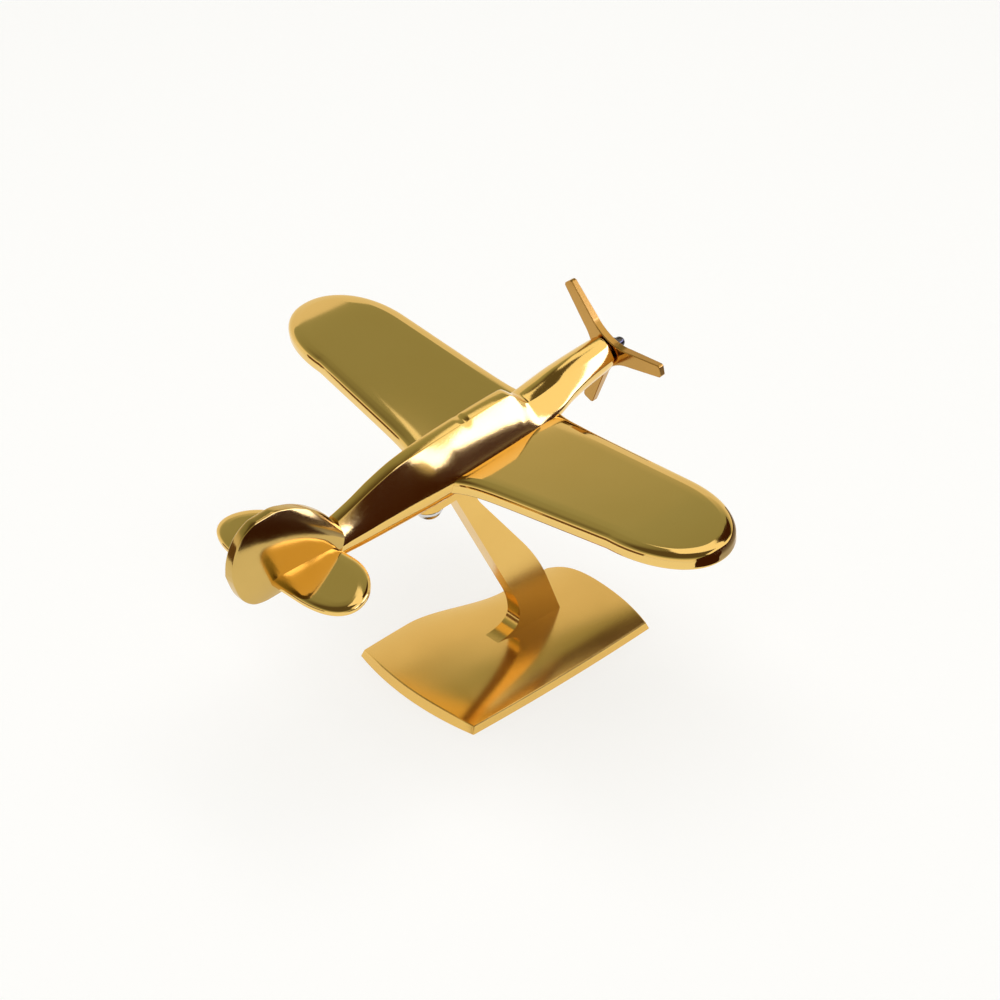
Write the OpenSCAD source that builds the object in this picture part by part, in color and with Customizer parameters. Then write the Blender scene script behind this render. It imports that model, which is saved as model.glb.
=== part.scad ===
// Polished brass desk aeroplane: a low-wing monoplane on a leaning stand arm and a pillow-shaped base.
// Millimetres. +X is the direction of flight, +Y is port, +Z is up.
// The origin is the middle of the base's underside. The aeroplane's own parts are drawn level,
// about the wing's top face at the centre line, and flight() tips them nose up and lifts them.

/* [Base] */
// Length of the base between its corners
base_len = 82.4; // [72:0.2:96]
// Width of the base between its corners
base_wid = 57.8; // [50:0.2:70]
// Height of the base's edge at its corners
rim_h = 2.8; // [2.2:0.1:4]
// Rise of the crown above the edge
crown_h = 2.2; // [1.5:0.1:4]
// How far the two ends bow outwards
end_bow = 3.5; // [0:0.1:5]
// How far the two long sides bow outwards
side_bow = 0.9; // [0:0.1:3]
// How far the top edge stands in from the bottom edge
rim_draft = 1.0; // [0.4:0.1:1.6]
// How far the port long side steps in over its front half
port_step = 9.4; // [0:0.2:11]
// How far the port front corner is rounded back
corner_back = 3.4; // [0:0.2:5]
// Thickness of the felt pad
felt_t = 0.9; // [0.6:0.1:1.2]
// How far the felt stands in from the base's edge
felt_inset = 3.0; // [2:0.2:6]

/* [Stand arm] */
// Thickness of the arm across the flight line
arm_t = 6.2; // [5.6:0.1:8]
// Height of the pocket floor that the arm's foot sits on
foot_seat = 3.9; // [3.4:0.1:4.2]
// Half width of the flange under the belly
flange_r = 4.6; // [4:0.1:5.4]
// Thickness of the flange
flange_t = 3.5; // [2.5:0.1:5]
// Distance between the two flange screws
flange_pitch = 24; // [20:0.5:28]
// Position of the rear flange screw along the fuselage
flange_rear_x = -29.3; // [-31:0.1:-28]

/* [Flight attitude] */
// Height of the wing's top face at the centre line
plane_z = 89.3; // [86:0.1:96]
// Position of the wing's reference point along the base
plane_x = -4.3; // [-6:0.1:-2]
// Nose-up angle
pitch = 4.5; // [3:0.5:6]

/* [Fuselage] */
// Depth of the flat belly below the wing's top face
belly_z = 9.5; // [9:0.1:11]
// Position of the nose's front face
nose_x = 50.4; // [49.4:0.1:53]
// Position of the joint with the tail casting, at the height of the stud
tail_x = -69; // [-69.8:0.1:-68]
// Lean of that joint, forward at the top
tail_lean = 20; // [10:1:26]

/* [Wing] */
// Span from tip to tip
span = 200; // [180:1:220]
// Thickness of the wing plate
wing_t = 5.2; // [4.6:0.1:5.6]
// Front edge at the root, forward of the reference point
wing_front = 21.3; // [19:0.1:23]
// Rear edge at the root, behind the reference point
wing_back = 25.6; // [23:0.1:27]
// How far the rear edge sweeps forward towards the tip
wing_taper = 9.4; // [6:0.1:12]
// Length of the rounded tip
tip_len = 31; // [24:0.5:38]
// Dihedral angle
dihedral = 3.6; // [2:0.1:5]
// Distance from the centre line to the wing's root face
wing_root_y = 7.4; // [6.8:0.1:8]

/* [Tail] */
// Span of the tailplane from tip to tip
tail_span = 64.6; // [56:0.2:72]
// Thickness of the tailplane
tail_t = 2.6; // [2.2:0.1:3.2]
// Depth of the tailplane's top face below the wing's
tail_drop = 0.7; // [0:0.1:1.5]
// Front edge of the tailplane
tail_front = -70.6; // [-72:0.1:-70]
// Rear edge of the tailplane
tail_back = -95.2; // [-97:0.1:-93]
// Distance from the centre line to the tailplane's root face
tail_root_y = 2.6; // [2.2:0.1:3]
// How far the tailplane's tip sweeps back
tail_sweep = 2.4; // [0:0.1:4]
// Half thickness of the fin's rim
fin_rim = 1.65; // [1.2:0.05:2]

/* [Propeller] */
// Radius at the blade tips
prop_r = 26.3; // [22:0.1:28]
// Height of the propeller axis above the wing's top face
prop_z = 4.9; // [4.6:0.1:5.2]
// Width of a blade at its root
blade_root_w = 5.8; // [4.8:0.1:6.6]
// Width of a blade at its tip
blade_tip_w = 4.6; // [4:0.1:5.4]
// Thickness of the hub and of the blades where they leave it
hub_t = 2.8; // [2.2:0.1:3.4]
// Thickness of a blade at its tip
blade_tip_t = 2.2; // [1.6:0.1:2.8]
// Radius of the fillets between the blades
web_r = 16; // [12:0.5:20]
// Angle of the first blade from upright, towards port
blade_turn = 38; // [0:1:119]

/* [Fasteners] */
// Radius of the stud that the propeller turns on
prop_pin_r = 1.5; // [1.2:0.1:1.8]
// Radius of the dome nut's dome
nut_dome_r = 1.9; // [1.8:0.1:2.6]
// Height of the dome nut
nut_h = 5.6; // [5:0.1:6.5]
// Thickness of the washer behind the propeller
rear_washer_t = 0.6; // [0.4:0.05:1]
// Thickness of the washer in front of the propeller
front_washer_t = 0.6; // [0.4:0.05:1]
// Radius of the flange screws' shank
stand_screw_r = 2.5; // [2:0.1:2.8]
// Radius of the flange screws' head
stand_head_r = 4.6; // [4.2:0.1:5.2]
// Radius of the base screws' shank
base_screw_r = 1.5; // [1.2:0.1:1.8]
// Radius of the wing dowels
dowel_r = 1.5; // [1.2:0.1:1.8]
// Running clearance of the propeller on its screw
run_gap = 0.05; // [0.02:0.01:0.09]
// Gap round a fitted piece
fit_gap = 0.1; // [0.05:0.01:0.15]

/* [Hidden] */
$fn = 48;
eps = 0.01;
brass = [0.83, 0.66, 0.30];
steel = [0.72, 0.72, 0.72];

tail_stub = 3.5;
fuselage_end = tail_x - tail_stub;
// Fuselage stations from tail to nose:
// [x, half width of the top band, its height, greatest half width, its height,
//  half width of the belly, its height, rise of the top band in the middle]
STATIONS = [
    [fuselage_end, 1.8, 3.0, 6.0, -2.7, 3.5, -8.1, 0.1],
    [tail_x + 3.2, 1.9, 4.4, 5.9, -2.7, 3.6, -8.3, 0.1],
    [-60, 1.9, 5.9, 6.2, -2.7, 3.8, -8.7, 0.1],
    [-50, 2.1, 9.0, 6.9, -2.5, 4.2, -9.1, 0.1],
    [-40, 2.2, 11.2, 7.9, -2.3, 4.6, 0.1 - belly_z, 0.1],
    [-30, 2.6, 12.1, 9.9, -1.2, 5.0, -belly_z, 0.2],
    [-20, 2.7, 12.4, 10.8, -0.8, 5.0, -belly_z, 0.2],
    [-14, 2.7, 12.4, 10.8, -0.8, 5.0, -belly_z, 0.2],
    [-12.4, 2.5, 12.2, 10.8, -0.8, 5.0, -belly_z, 0.2],
    [-10, 2.4, 12.5, 10.8, -0.8, 5.0, -belly_z, 0.2],
    [0, 2.4, 12.8, 10.7, -0.9, 5.0, -belly_z, 0.2],
    [6, 2.4, 12.6, 10.5, -0.9, 5.0, 0.2 - belly_z, 0.2],
    [13.4, 4.2, 6.8, 10.3, -0.6, 4.9, -8.0, 0.8],
    [22, 4.5, 7.4, 9.9, 1.6, 4.6, -4.6, 1.2],
    [30, 4.3, 8.5, 8.6, 3.8, 4.2, -2.6, 1.5],
    [40, 4.1, 9.1, 7.2, 4.8, 3.8, -1.2, 1.8],
    [nose_x - 0.6, 3.6, 9.4, 6.1, 5.1, 3.2, 0.1, 1.8],
    [nose_x, 3.1, 9.0, 5.6, 5.1, 2.8, 0.6, 1.6]
];
STATION_X = [
    for (i = [0 : 16]) fuselage_end + i * (-16 - fuselage_end) / 16,
    for (x = [-15 : 1 : 15]) x,
    for (i = [1 : 11]) 15 + i * (nose_x - 0.6 - 15) / 11,
    nose_x
];

// Tail casting stations: [x, top, bottom, greatest half thickness]
FIN_STATIONS = [
    [-107.9, 6.4, 4.6, fin_rim + 0.3],
    [-107.5, 9.2, 2.4, 2.1],
    [-106.2, 13.0, -2.4, 2.3],
    [-104, 16.6, -6.0, 2.9],
    [-100.5, 19.6, -8.6, 3.6],
    [-96, 21.2, -9.5, 4.3],
    [-90, 21.2, -9.6, 4.9],
    [-84, 19.4, -9.4, 5.3],
    [-78, 16.0, -9.0, 5.8],
    [-72, 10.8, -8.6, 6.1],
    [-66, 4.0, -8.3, 6.1],
    [tail_x + 5.5, 1.4, -8.2, 6.0]
];
fin_start = tail_x + 5.5;
fin_end = FIN_STATIONS[0][0];
fin_slices = 26;

// Edge of a plate from its underside up: [inset, share of the thickness below the top]
PLATE_EDGE = [
    [0.8, 1], [0.25, 0.93], [0, 0.75], [0, 0.4], [0.45, 0.15], [1.4, 0.05], [3.0, 0]
];

foot_tail = -9.7;
foot_front = 23.2;
flange_front_x = flange_rear_x + flange_pitch;
flange_z = -belly_z - flange_t;
washer_t = 1.0;
stand_head_h = 3.6;
stand_washer_r = stand_head_r + 0.2;
stand_screw_deep = 8;
BASE_SCREW_X = [8.5, 17.5];
base_screw_top = 12.5;
base_head_r = base_screw_r + 1.3;
base_head_h = 1.6;
DOWEL_X = [-16, 12];
dowel_len = 34;
dowel_z = -wing_t / 2 + 0.6;
stud_r = 2;
stud_len = 15;
stud_z = -2.8;
pin_r = 0.9;
pin_len = 15;
pin_x = -83;
pin_z = -tail_drop - tail_t / 2;
play = 0.1;
washer_r = 3.2;
prop_back = nose_x + rear_washer_t + play;
prop_front = prop_back + hub_t;
nut_back = prop_front + play + front_washer_t;
nut_hex_r = 2.8;
nut_hex_h = 2.4;
stud_front = nut_back + nut_h - nut_dome_r;
stud_back = nose_x - 11;

// ---------------------------------------------------------------- helpers

// Slope of column c at row i that keeps the curve from overshooting
function chord(t, c, i) = (t[i + 1][c] - t[i][c]) / (t[i + 1][0] - t[i][0]);
function slope(t, c, i) =
    i == 0 ? chord(t, c, 0) :
    i == len(t) - 1 ? chord(t, c, i - 1) :
    chord(t, c, i - 1) * chord(t, c, i) <= 0 ? 0 :
    2 * chord(t, c, i - 1) * chord(t, c, i) / (chord(t, c, i - 1) + chord(t, c, i));
function row(t, x, i = 0) = i >= len(t) - 2 || x < t[i + 1][0] ? i : row(t, x, i + 1);
function smooth(t, c, x) =
    let (i = row(t, x), h = t[i + 1][0] - t[i][0], u = (x - t[i][0]) / h)
    t[i][c] * (1 + 2 * u) * (1 - u) * (1 - u) + t[i + 1][c] * u * u * (3 - 2 * u)
    + h * slope(t, c, i) * u * (1 - u) * (1 - u) - h * slope(t, c, i + 1) * u * u * (1 - u);

function bezier(a, b, c, u) = a * (1 - u) * (1 - u) + b * 2 * u * (1 - u) + c * u * u;
function reversed(list) = [for (i = [len(list) - 1 : -1 : 0]) list[i]];

// A solid through rings of points, each ring closed and flat
module loft(rings) {
    n = len(rings[0]);
    last = len(rings) - 1;
    polyhedron(
        points = [for (ring = rings) each ring],
        faces = [
            [for (j = [0 : n - 1]) j],
            [for (j = [n - 1 : -1 : 0]) last * n + j],
            for (i = [0 : last - 1], j = [0 : n - 1])
                [i * n + j, (i + 1) * n + j, i * n + (j + 1) % n],
            for (i = [0 : last - 1], j = [0 : n - 1])
                [i * n + (j + 1) % n, (i + 1) * n + j, (i + 1) * n + (j + 1) % n]
        ]
    );
}

// Places the aeroplane's own frame over the stand
module flight() {
    translate([plane_x, 0, plane_z])
        rotate([0, -pitch, 0])
            children();
}

// A cylinder along +X from x1 to x2, at the height of the propeller axis
module on_prop_axis(x1, x2, r) {
    translate([x1, 0, prop_z])
        rotate([0, 90, 0])
            cylinder(r = r, h = x2 - x1);
}

module flange_places() {
    for (x = [flange_rear_x, flange_front_x])
        translate([x, 0, 0])
            children();
}

// ---------------------------------------------------------------- base

base_cells_x = 20;
base_cells_y = 16;
function bow(s) = 1 - s * s;
// How flat the crown is across, and the share of its rise that is left at the two ends
crown_power = 2.6;
crown_ends = 0.64;
function crown(u, v) =
    rim_h + crown_h * (1 - pow(abs(v), crown_power)) * (crown_ends + (1 - crown_ends) * bow(u));
function ease(t) = let (c = min(max(t, 0), 1)) c * c * (3 - 2 * c);
// The port side (v > 0) steps in from u = step_from over step_over, and its front corner is round
step_from = -0.5;
step_over = 0.9;
function side_step(u, v) = v > 0 ? port_step * ease((u - step_from) / step_over) : 0;
function base_xy(u, v, inset) = [
    u * (base_len / 2 - inset + end_bow * bow(v))
        - corner_back * pow(max(u, 0), 8) * pow(max(v, 0), 6),
    v * (base_wid / 2 - inset + side_bow * bow(u) - side_step(u, v))
];
function base_grid(inset, top) = [
    for (i = [0 : base_cells_x], j = [0 : base_cells_y])
        let (u = 2 * i / base_cells_x - 1, v = 2 * j / base_cells_y - 1)
        concat(base_xy(u, v, inset), top ? crown(u, v) : 0)
];

module base_blank() {
    n = base_cells_y + 1;
    m = (base_cells_x + 1) * n;
    right = base_cells_x * n;
    polyhedron(
        points = concat(base_grid(rim_draft, true), base_grid(0, false)),
        faces = [
            for (i = [0 : base_cells_x - 1], j = [0 : base_cells_y - 1])
                [i * n + j, i * n + j + 1, (i + 1) * n + j + 1, (i + 1) * n + j],
            for (i = [0 : base_cells_x - 1], j = [0 : base_cells_y - 1])
                [m + i * n + j, m + (i + 1) * n + j, m + (i + 1) * n + j + 1, m + i * n + j + 1],
            for (j = [0 : base_cells_y - 1]) [j, m + j, m + j + 1, j + 1],
            for (j = [0 : base_cells_y - 1])
                [right + j, right + j + 1, m + right + j + 1, m + right + j],
            for (i = [0 : base_cells_x - 1]) [i * n, (i + 1) * n, m + (i + 1) * n, m + i * n],
            for (i = [1 : base_cells_x])
                [i * n + n - 1, (i - 1) * n + n - 1, m + (i - 1) * n + n - 1, m + i * n + n - 1]
        ]
    );
}

// Outline of the felt, and of the recess that holds it
module felt_outline(gap) {
    steps = 12;
    side = [for (k = [0 : steps - 1]) 2 * k / steps - 1];
    polygon([
        for (s = side) base_xy(s, -1, felt_inset - gap),
        for (s = side) base_xy(1, s, felt_inset - gap),
        for (s = side) base_xy(-s, 1, felt_inset - gap),
        for (s = side) base_xy(-1, -s, felt_inset - gap)
    ]);
}

// Taller than the base at its crown, so that the screw bores pass right through it
base_bore_h = 20;

module base_plate() {
    color(brass)
        difference() {
            base_blank();
            translate([0, 0, -1])
                linear_extrude(1 + felt_t)
                    felt_outline(fit_gap);
            translate([0, 0, foot_seat])
                arm_profile_cut();
            for (x = BASE_SCREW_X)
                translate([x, 0, 0]) {
                    cylinder(r = base_screw_r + fit_gap, h = base_bore_h);
                    translate([0, 0, felt_t - eps])
                        cylinder(r1 = base_head_r + fit_gap, r2 = base_screw_r + fit_gap,
                                 h = base_head_h);
                }
        }
}

// Room for the arm's foot above the seat
module arm_profile_cut() {
    translate([foot_tail - fit_gap, -arm_t / 2 - fit_gap, 0])
        cube([foot_front + 1 - foot_tail + 2 * fit_gap, arm_t + 2 * fit_gap, 10]);
}

module base_felt() {
    color([0.10, 0.22, 0.14])
        linear_extrude(felt_t - 0.05)
            felt_outline(0);
}

module base_screws() {
    color(steel)
        for (x = BASE_SCREW_X)
            translate([x, 0, felt_t]) {
                cylinder(r1 = base_head_r, r2 = base_screw_r, h = base_head_h - fit_gap);
                cylinder(r = base_screw_r, h = base_screw_top - felt_t);
            }
}

// ---------------------------------------------------------------- stand arm

// A point of the aeroplane's own frame, in the side view of the whole model
function flown(x, z) = [
    plane_x + x * cos(pitch) - z * sin(pitch),
    plane_z + x * sin(pitch) + z * cos(pitch)
];
// Points of the side view, each "pull" being the handle of the curve between its neighbours
foot_rise = 1;
foot_pull = [4.5, foot_seat + 0.9];
heel = [3.9, foot_seat + 8];
heel_pull = [3.9, foot_seat + 12];
waist_back = [1.3, 21.6];
waist_front = [4.6, 43.1];
shin_pull = [12.6, 32.2];
shin = [16.4, 22.3];
ankle = [20.1, 12.2];
neck_front = [-12.4, 66.5];
neck_pull = [-18.2, 74.5];
// Where the arm's top edges meet the flange, from its two screws, and how deep they sink into it
arm_back_in = 8.4;
arm_front_out = 2.5;
arm_sink = 0.5;
flange_lead = 3;
flange_drop = 0.4;
top_back = flown(flange_rear_x + arm_back_in, flange_z + arm_sink);
top_front = flown(flange_front_x + arm_front_out, flange_z + arm_sink);

// Side view of the arm: the rear edge going up, then the front edge coming down
function arm_side() = concat(
    [[foot_tail, foot_seat], [foot_tail, foot_seat + foot_rise]],
    [for (k = [1 : 8]) bezier([foot_tail, foot_seat + foot_rise], foot_pull, heel, k / 8)],
    [for (k = [1 : 6]) bezier(heel, heel_pull, waist_back, k / 6)],
    [top_back, top_front],
    [for (k = [1 : 6]) bezier(top_front - [flange_lead, flange_drop], neck_pull, neck_front, k / 6)],
    [for (k = [0 : 8]) bezier(waist_front, shin_pull, shin, k / 8)],
    [ankle, [foot_front, foot_seat]]
);

module flange() {
    translate([0, 0, flange_z]) {
        flange_places()
            cylinder(r = flange_r, h = flange_t);
        translate([flange_rear_x, -flange_r, 0])
            cube([flange_pitch, 2 * flange_r, flange_t]);
    }
}

// Room for a screw's head and washer under the flange, cut out of the bar's front corner
module spot_face() {
    depth = washer_t + stand_head_h + 1;
    translate([0, 0, flange_z - depth])
        cylinder(r = stand_washer_r + fit_gap, h = depth);
}

module stand_arm() {
    color(brass)
        difference() {
            union() {
                translate([0, arm_t / 2, 0])
                    rotate([90, 0, 0])
                        linear_extrude(arm_t)
                            polygon(arm_side());
                flight()
                    flange();
            }
            flight()
                flange_places()
                    translate([0, 0, flange_z - 1])
                        cylinder(r = stand_screw_r + fit_gap, h = flange_t + 2);
            flight()
                flange_places()
                    spot_face();
            for (x = BASE_SCREW_X)
                translate([x, 0, foot_seat - 1])
                    cylinder(r = base_screw_r + fit_gap / 2, h = base_screw_top - foot_seat + 1.5);
        }
}

module stand_washers() {
    color(steel)
        flight()
            flange_places()
                translate([0, 0, flange_z - washer_t])
                    difference() {
                        cylinder(r = stand_washer_r, h = washer_t);
                        translate([0, 0, -1])
                            cylinder(r = stand_screw_r + fit_gap, h = washer_t + 2);
                    }
}

// A domed head, flat side up, hanging below z = 0
module dome_head(r, h) {
    bulge = (r * r + h * h) / (2 * h);
    intersection() {
        translate([0, 0, bulge - h])
            sphere(r = bulge, $fn = 64);
        translate([0, 0, -h])
            cylinder(r = r, h = h);
    }
}

module stand_screws() {
    slot_w = 1.1;
    slot_h = 1.2;
    over = 1;
    color(steel)
        flight()
            flange_places()
                translate([0, 0, flange_z - washer_t]) {
                    difference() {
                        dome_head(stand_head_r, stand_head_h);
                        translate([-stand_head_r - over, -slot_w / 2, -stand_head_h - over])
                            cube([2 * (stand_head_r + over), slot_w, slot_h + over]);
                    }
                    cylinder(r = stand_screw_r, h = washer_t + flange_t + stand_screw_deep - 0.5);
                }
}

// ---------------------------------------------------------------- fuselage

// How far the flank's curve falls before it turns in, as a share of its height. It falls flank_soft
// further behind x = tail_soft and ahead of x = nose_soft, over the two lengths beside them
flank_fall = 0.72;
flank_soft = 0.13;
tail_soft = -25;
tail_soft_len = 25;
nose_soft = 6;
nose_soft_len = 14;
// The handle of the curve from the widest point to the belly's edge, as shares of its width and height
tuck_in = 0.15;
tuck_down = 0.62;

// Half of a fuselage section as [y, z], from the top band's edge down to the belly's edge
function fuselage_half(x) =
    let (
        top = [smooth(STATIONS, 1, x), smooth(STATIONS, 2, x)],
        wide = [smooth(STATIONS, 3, x), smooth(STATIONS, 4, x)],
        low = [smooth(STATIONS, 5, x), smooth(STATIONS, 6, x)],
        soft = max(ease((tail_soft - x) / tail_soft_len), ease((x - nose_soft) / nose_soft_len)),
        fall = flank_fall + flank_soft * soft,
        shoulder = [wide[0], top[1] - fall * (top[1] - wide[1])],
        flank = [wide[0] - tuck_in * (wide[0] - low[0]), wide[1] - tuck_down * (wide[1] - low[1])]
    )
    concat(
        [for (k = [0 : 8]) bezier(top, shoulder, wide, k / 8)],
        [for (k = [1 : 4]) bezier(wide, flank, low, k / 4)]
    );

// A whole section from its starboard half, with the top band raised by crown in the middle
function across(x, half, crown = 0) = concat(
    crown > 0 ? [[x, 0, half[0][1] + crown]] : [],
    [for (p = half) [x, -p[0], p[1]]],
    [for (p = reversed(half)) [x, p[0], p[1]]]
);

joint_cut = 80;
// Everything behind the leaning joint between the fuselage and the tail casting
module behind_joint(gap) {
    translate([tail_x - gap, 0, stud_z])
        rotate([0, tail_lean, 0])
            translate([-joint_cut, -joint_cut / 2, -joint_cut / 2])
                cube(joint_cut);
}

module fuselage() {
    color(brass)
        flight()
            difference() {
                loft([for (x = STATION_X)
                    across(x, fuselage_half(x), smooth(STATIONS, 7, x))]);
                behind_joint(0);
                wing_slot();
                mirror([0, 1, 0])
                    wing_slot();
                wing_dowel_shape(fit_gap / 2, 0);
                flange_places()
                    translate([0, 0, -belly_z - 1])
                        cylinder(r = stand_screw_r + fit_gap / 2, h = stand_screw_deep + 1);
                tail_stud_shape(fit_gap / 2, 0.5);
                on_prop_axis(stud_back - 0.5, nose_x + 1, prop_pin_r + fit_gap / 2);
            }
}

// ---------------------------------------------------------------- wings

root_flare = 2.4;
// Plan of one plate, from its front edge at the root round the tip to its rear edge at the root.
// Each point is [x, y, outward direction x, outward direction y].
function wing_tip_mid() = (wing_front + 1.2 - wing_back + wing_taper) / 2;
function wing_tip_half() = (wing_front + 1.2 + wing_back - wing_taper) / 2;
function flare(y) = root_flare * exp(-(y - 10) / 5);
function wing_plan(root) =
    let (y1 = span / 2 - tip_len, n = 26, m = 9)
    concat(
        [for (k = [0 : m - 1])
            let (y = root + (y1 - root) * pow(k / m, 1.6))
            [wing_front + 1.2 * y / y1 + 0.4 * flare(y), y, 1, 0]],
        [for (k = [0 : n])
            let (a = 90 - 180 * k / n, e = 0.95)
            [wing_tip_mid() + wing_tip_half() * sign(sin(a)) * pow(abs(sin(a)), e),
             y1 + tip_len * pow(max(cos(a), 0), e),
             sin(a), cos(a)]],
        [for (k = [m - 1 : -1 : 0])
            let (y = root + (y1 - root) * pow(k / m, 1.6))
            [-wing_back + wing_taper * y / y1 - flare(y), y, -1, 0]]
    );

function plate_rings(plan, thick) = [
    for (e = PLATE_EDGE)
        [for (p = plan) [p[0] - e[0] * p[2], p[1] - e[0] * p[3], -thick * e[1]]]
];

// Straight-sided room for a plate's root, fit_gap larger all round
module plate_slot(plan, thick) {
    translate([0, 0, -thick - fit_gap])
        linear_extrude(thick + 2 * fit_gap)
            polygon([for (p = plan) [p[0] + fit_gap * p[2], p[1] + fit_gap * p[3]]]);
}

module wing_slot() {
    rotate([dihedral, 0, 0])
        plate_slot(wing_plan(wing_root_y - fit_gap), wing_t);
}

module wing_dowel_shape(gap, extra) {
    for (x = DOWEL_X)
        translate([x, -dowel_len / 2 - extra, dowel_z])
            rotate([-90, 0, 0])
                cylinder(r = dowel_r + gap, h = dowel_len + 2 * extra);
}

module wing_half() {
    difference() {
        rotate([dihedral, 0, 0])
            loft(plate_rings(wing_plan(wing_root_y), wing_t));
        wing_dowel_shape(fit_gap / 2, 0.5);
    }
}

module wing_port() {
    color(brass)
        flight()
            wing_half();
}

module wing_starboard() {
    color(brass)
        flight()
            mirror([0, 1, 0])
                wing_half();
}

module wing_dowels() {
    color(steel)
        flight()
            wing_dowel_shape(0, 0);
}

// ---------------------------------------------------------------- tail

// Sections of the tail casting lie closer together towards the round rear edge
function fin_x(k) = fin_end + (fin_start - fin_end) * pow(k / fin_slices, 1.6);
function fin_half(x) =
    let (
        top = smooth(FIN_STATIONS, 1, x),
        bottom = smooth(FIN_STATIONS, 2, x),
        fat = smooth(FIN_STATIONS, 3, x)
    )
    [for (s = [-1 : 1 / 6 : 1])
        [fin_rim + (fat - fin_rim) * (1 - pow(abs(s), 2.4)), top + (bottom - top) * (s + 1) / 2]];

module tail_fin() {
    color(brass)
        flight()
            difference() {
                intersection() {
                    loft([for (k = [0 : fin_slices]) across(fin_x(k), fin_half(fin_x(k)))]);
                    behind_joint(fit_gap / 2);
                }
                tail_slot();
                mirror([0, 1, 0])
                    tail_slot();
                tail_stud_shape(fit_gap / 2, 0.5);
                tailplane_pin_shape(fit_gap / 2, 0);
            }
}

module tail_stud_shape(gap, extra) {
    translate([tail_x - stud_len / 2 - extra, 0, stud_z])
        rotate([0, 90, 0])
            cylinder(r = stud_r + gap, h = stud_len + 2 * extra);
}

module tail_stud() {
    color(steel)
        flight()
            tail_stud_shape(0, 0);
}

function tail_plan(root) =
    let (
        tip = 18,
        y1 = tail_span / 2 - tip,
        mid = (tail_front + tail_back) / 2,
        half = (tail_front - tail_back) / 2,
        n = 22
    )
    concat(
        [[tail_front - 0.6, root, 1, 0]],
        [for (k = [0 : n])
            let (a = 90 - 180 * k / n)
            [mid + half * sin(a) - tail_sweep * pow(cos(a), 2), y1 + tip * cos(a), sin(a), cos(a)]],
        [[tail_back - 0.4, root, -1, 0]]
    );

module tail_slot() {
    translate([0, 0, -tail_drop])
        plate_slot(tail_plan(tail_root_y - fit_gap), tail_t);
}

module tailplane_pin_shape(gap, extra) {
    translate([pin_x, -pin_len / 2 - extra, pin_z])
        rotate([-90, 0, 0])
            cylinder(r = pin_r + gap, h = pin_len + 2 * extra);
}

module tailplane_half() {
    difference() {
        translate([0, 0, -tail_drop])
            loft(plate_rings(tail_plan(tail_root_y), tail_t));
        tailplane_pin_shape(fit_gap / 2, 0.5);
    }
}

module tailplane_port() {
    color(brass)
        flight()
            tailplane_half();
}

module tailplane_starboard() {
    color(brass)
        flight()
            mirror([0, 1, 0])
                tailplane_half();
}

module tailplane_pin() {
    color(steel)
        flight()
            tailplane_pin_shape(0, 0);
}

// ---------------------------------------------------------------- propeller

// A flat ring on the propeller axis
module ring_on_axis(x1, x2, r_out, r_in) {
    difference() {
        on_prop_axis(x1, x2, r_out);
        on_prop_axis(x1 - 1, x2 + 1, r_in);
    }
}

// The stud that the propeller turns on, fixed in the nose
module propeller_stud() {
    color(steel)
        flight()
            on_prop_axis(stud_back, stud_front, prop_pin_r);
}

module rear_washer() {
    color(steel)
        flight()
            ring_on_axis(nose_x, nose_x + rear_washer_t, washer_r, prop_pin_r + fit_gap);
}

// Outline of one blade, pointing along +Y
module blade_outline() {
    root = blade_root_w / 2;
    tip = blade_tip_w / 2;
    corner = 0.7;
    polygon([
        [-root, 0], [root, 0], [root, web_r * 0.7], [tip, prop_r - corner], [tip - corner, prop_r],
        [corner - tip, prop_r], [-tip, prop_r - corner], [-root, web_r * 0.7]
    ]);
}

// The hub, hollowed by a round fillet between each two blades
module hub_outline() {
    web = (blade_root_w / 2 + web_r) / sin(60);
    difference() {
        circle(r = web * cos(60), $fn = 48);
        for (turn = [60 : 120 : 300])
            rotate(turn)
                translate([0, web])
                    circle(r = web_r, $fn = 96);
    }
}

// Side view of one blade, pointing along +Z, wedge-shaped towards the tip
module blade_side() {
    polygon([
        [-hub_t / 2, 0], [hub_t / 2, 0], [hub_t / 2, web_r * 0.7],
        [blade_tip_t / 2, prop_r + 1], [-blade_tip_t / 2, prop_r + 1], [-hub_t / 2, web_r * 0.7]
    ]);
}

// One blade with its first length upright, in the plane across the axis
module blade() {
    intersection() {
        rotate([90, 0, 90])
            translate([0, 0, -hub_t])
                linear_extrude(2 * hub_t)
                    blade_outline();
        rotate([90, 0, 0])
            translate([0, 0, -blade_root_w])
                linear_extrude(2 * blade_root_w)
                    blade_side();
    }
}

module propeller() {
    color(brass)
        flight()
            difference() {
                translate([(prop_back + prop_front) / 2, 0, prop_z])
                    rotate([-blade_turn, 0, 0]) {
                        rotate([90, 0, 90])
                            translate([0, 0, -hub_t / 2])
                                linear_extrude(hub_t)
                                    hub_outline();
                        for (turn = [0 : 120 : 240])
                            rotate([turn, 0, 0])
                                blade();
                    }
                on_prop_axis(prop_back - 1, prop_front + 1, prop_pin_r + run_gap);
            }
}

module front_washer() {
    color(steel)
        flight()
            ring_on_axis(prop_front + play, nut_back, washer_r, prop_pin_r + fit_gap);
}

module dome_nut() {
    color(steel)
        flight()
            difference() {
                translate([nut_back, 0, prop_z])
                    rotate([0, 90, 0]) {
                        cylinder(r = nut_hex_r, h = nut_hex_h, $fn = 6);
                        cylinder(r = nut_dome_r, h = nut_h - nut_dome_r);
                        translate([0, 0, nut_h - nut_dome_r])
                            sphere(r = nut_dome_r);
                    }
                on_prop_axis(nut_back - 1, stud_front + 0.2, prop_pin_r + fit_gap / 2);
            }
}

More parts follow.
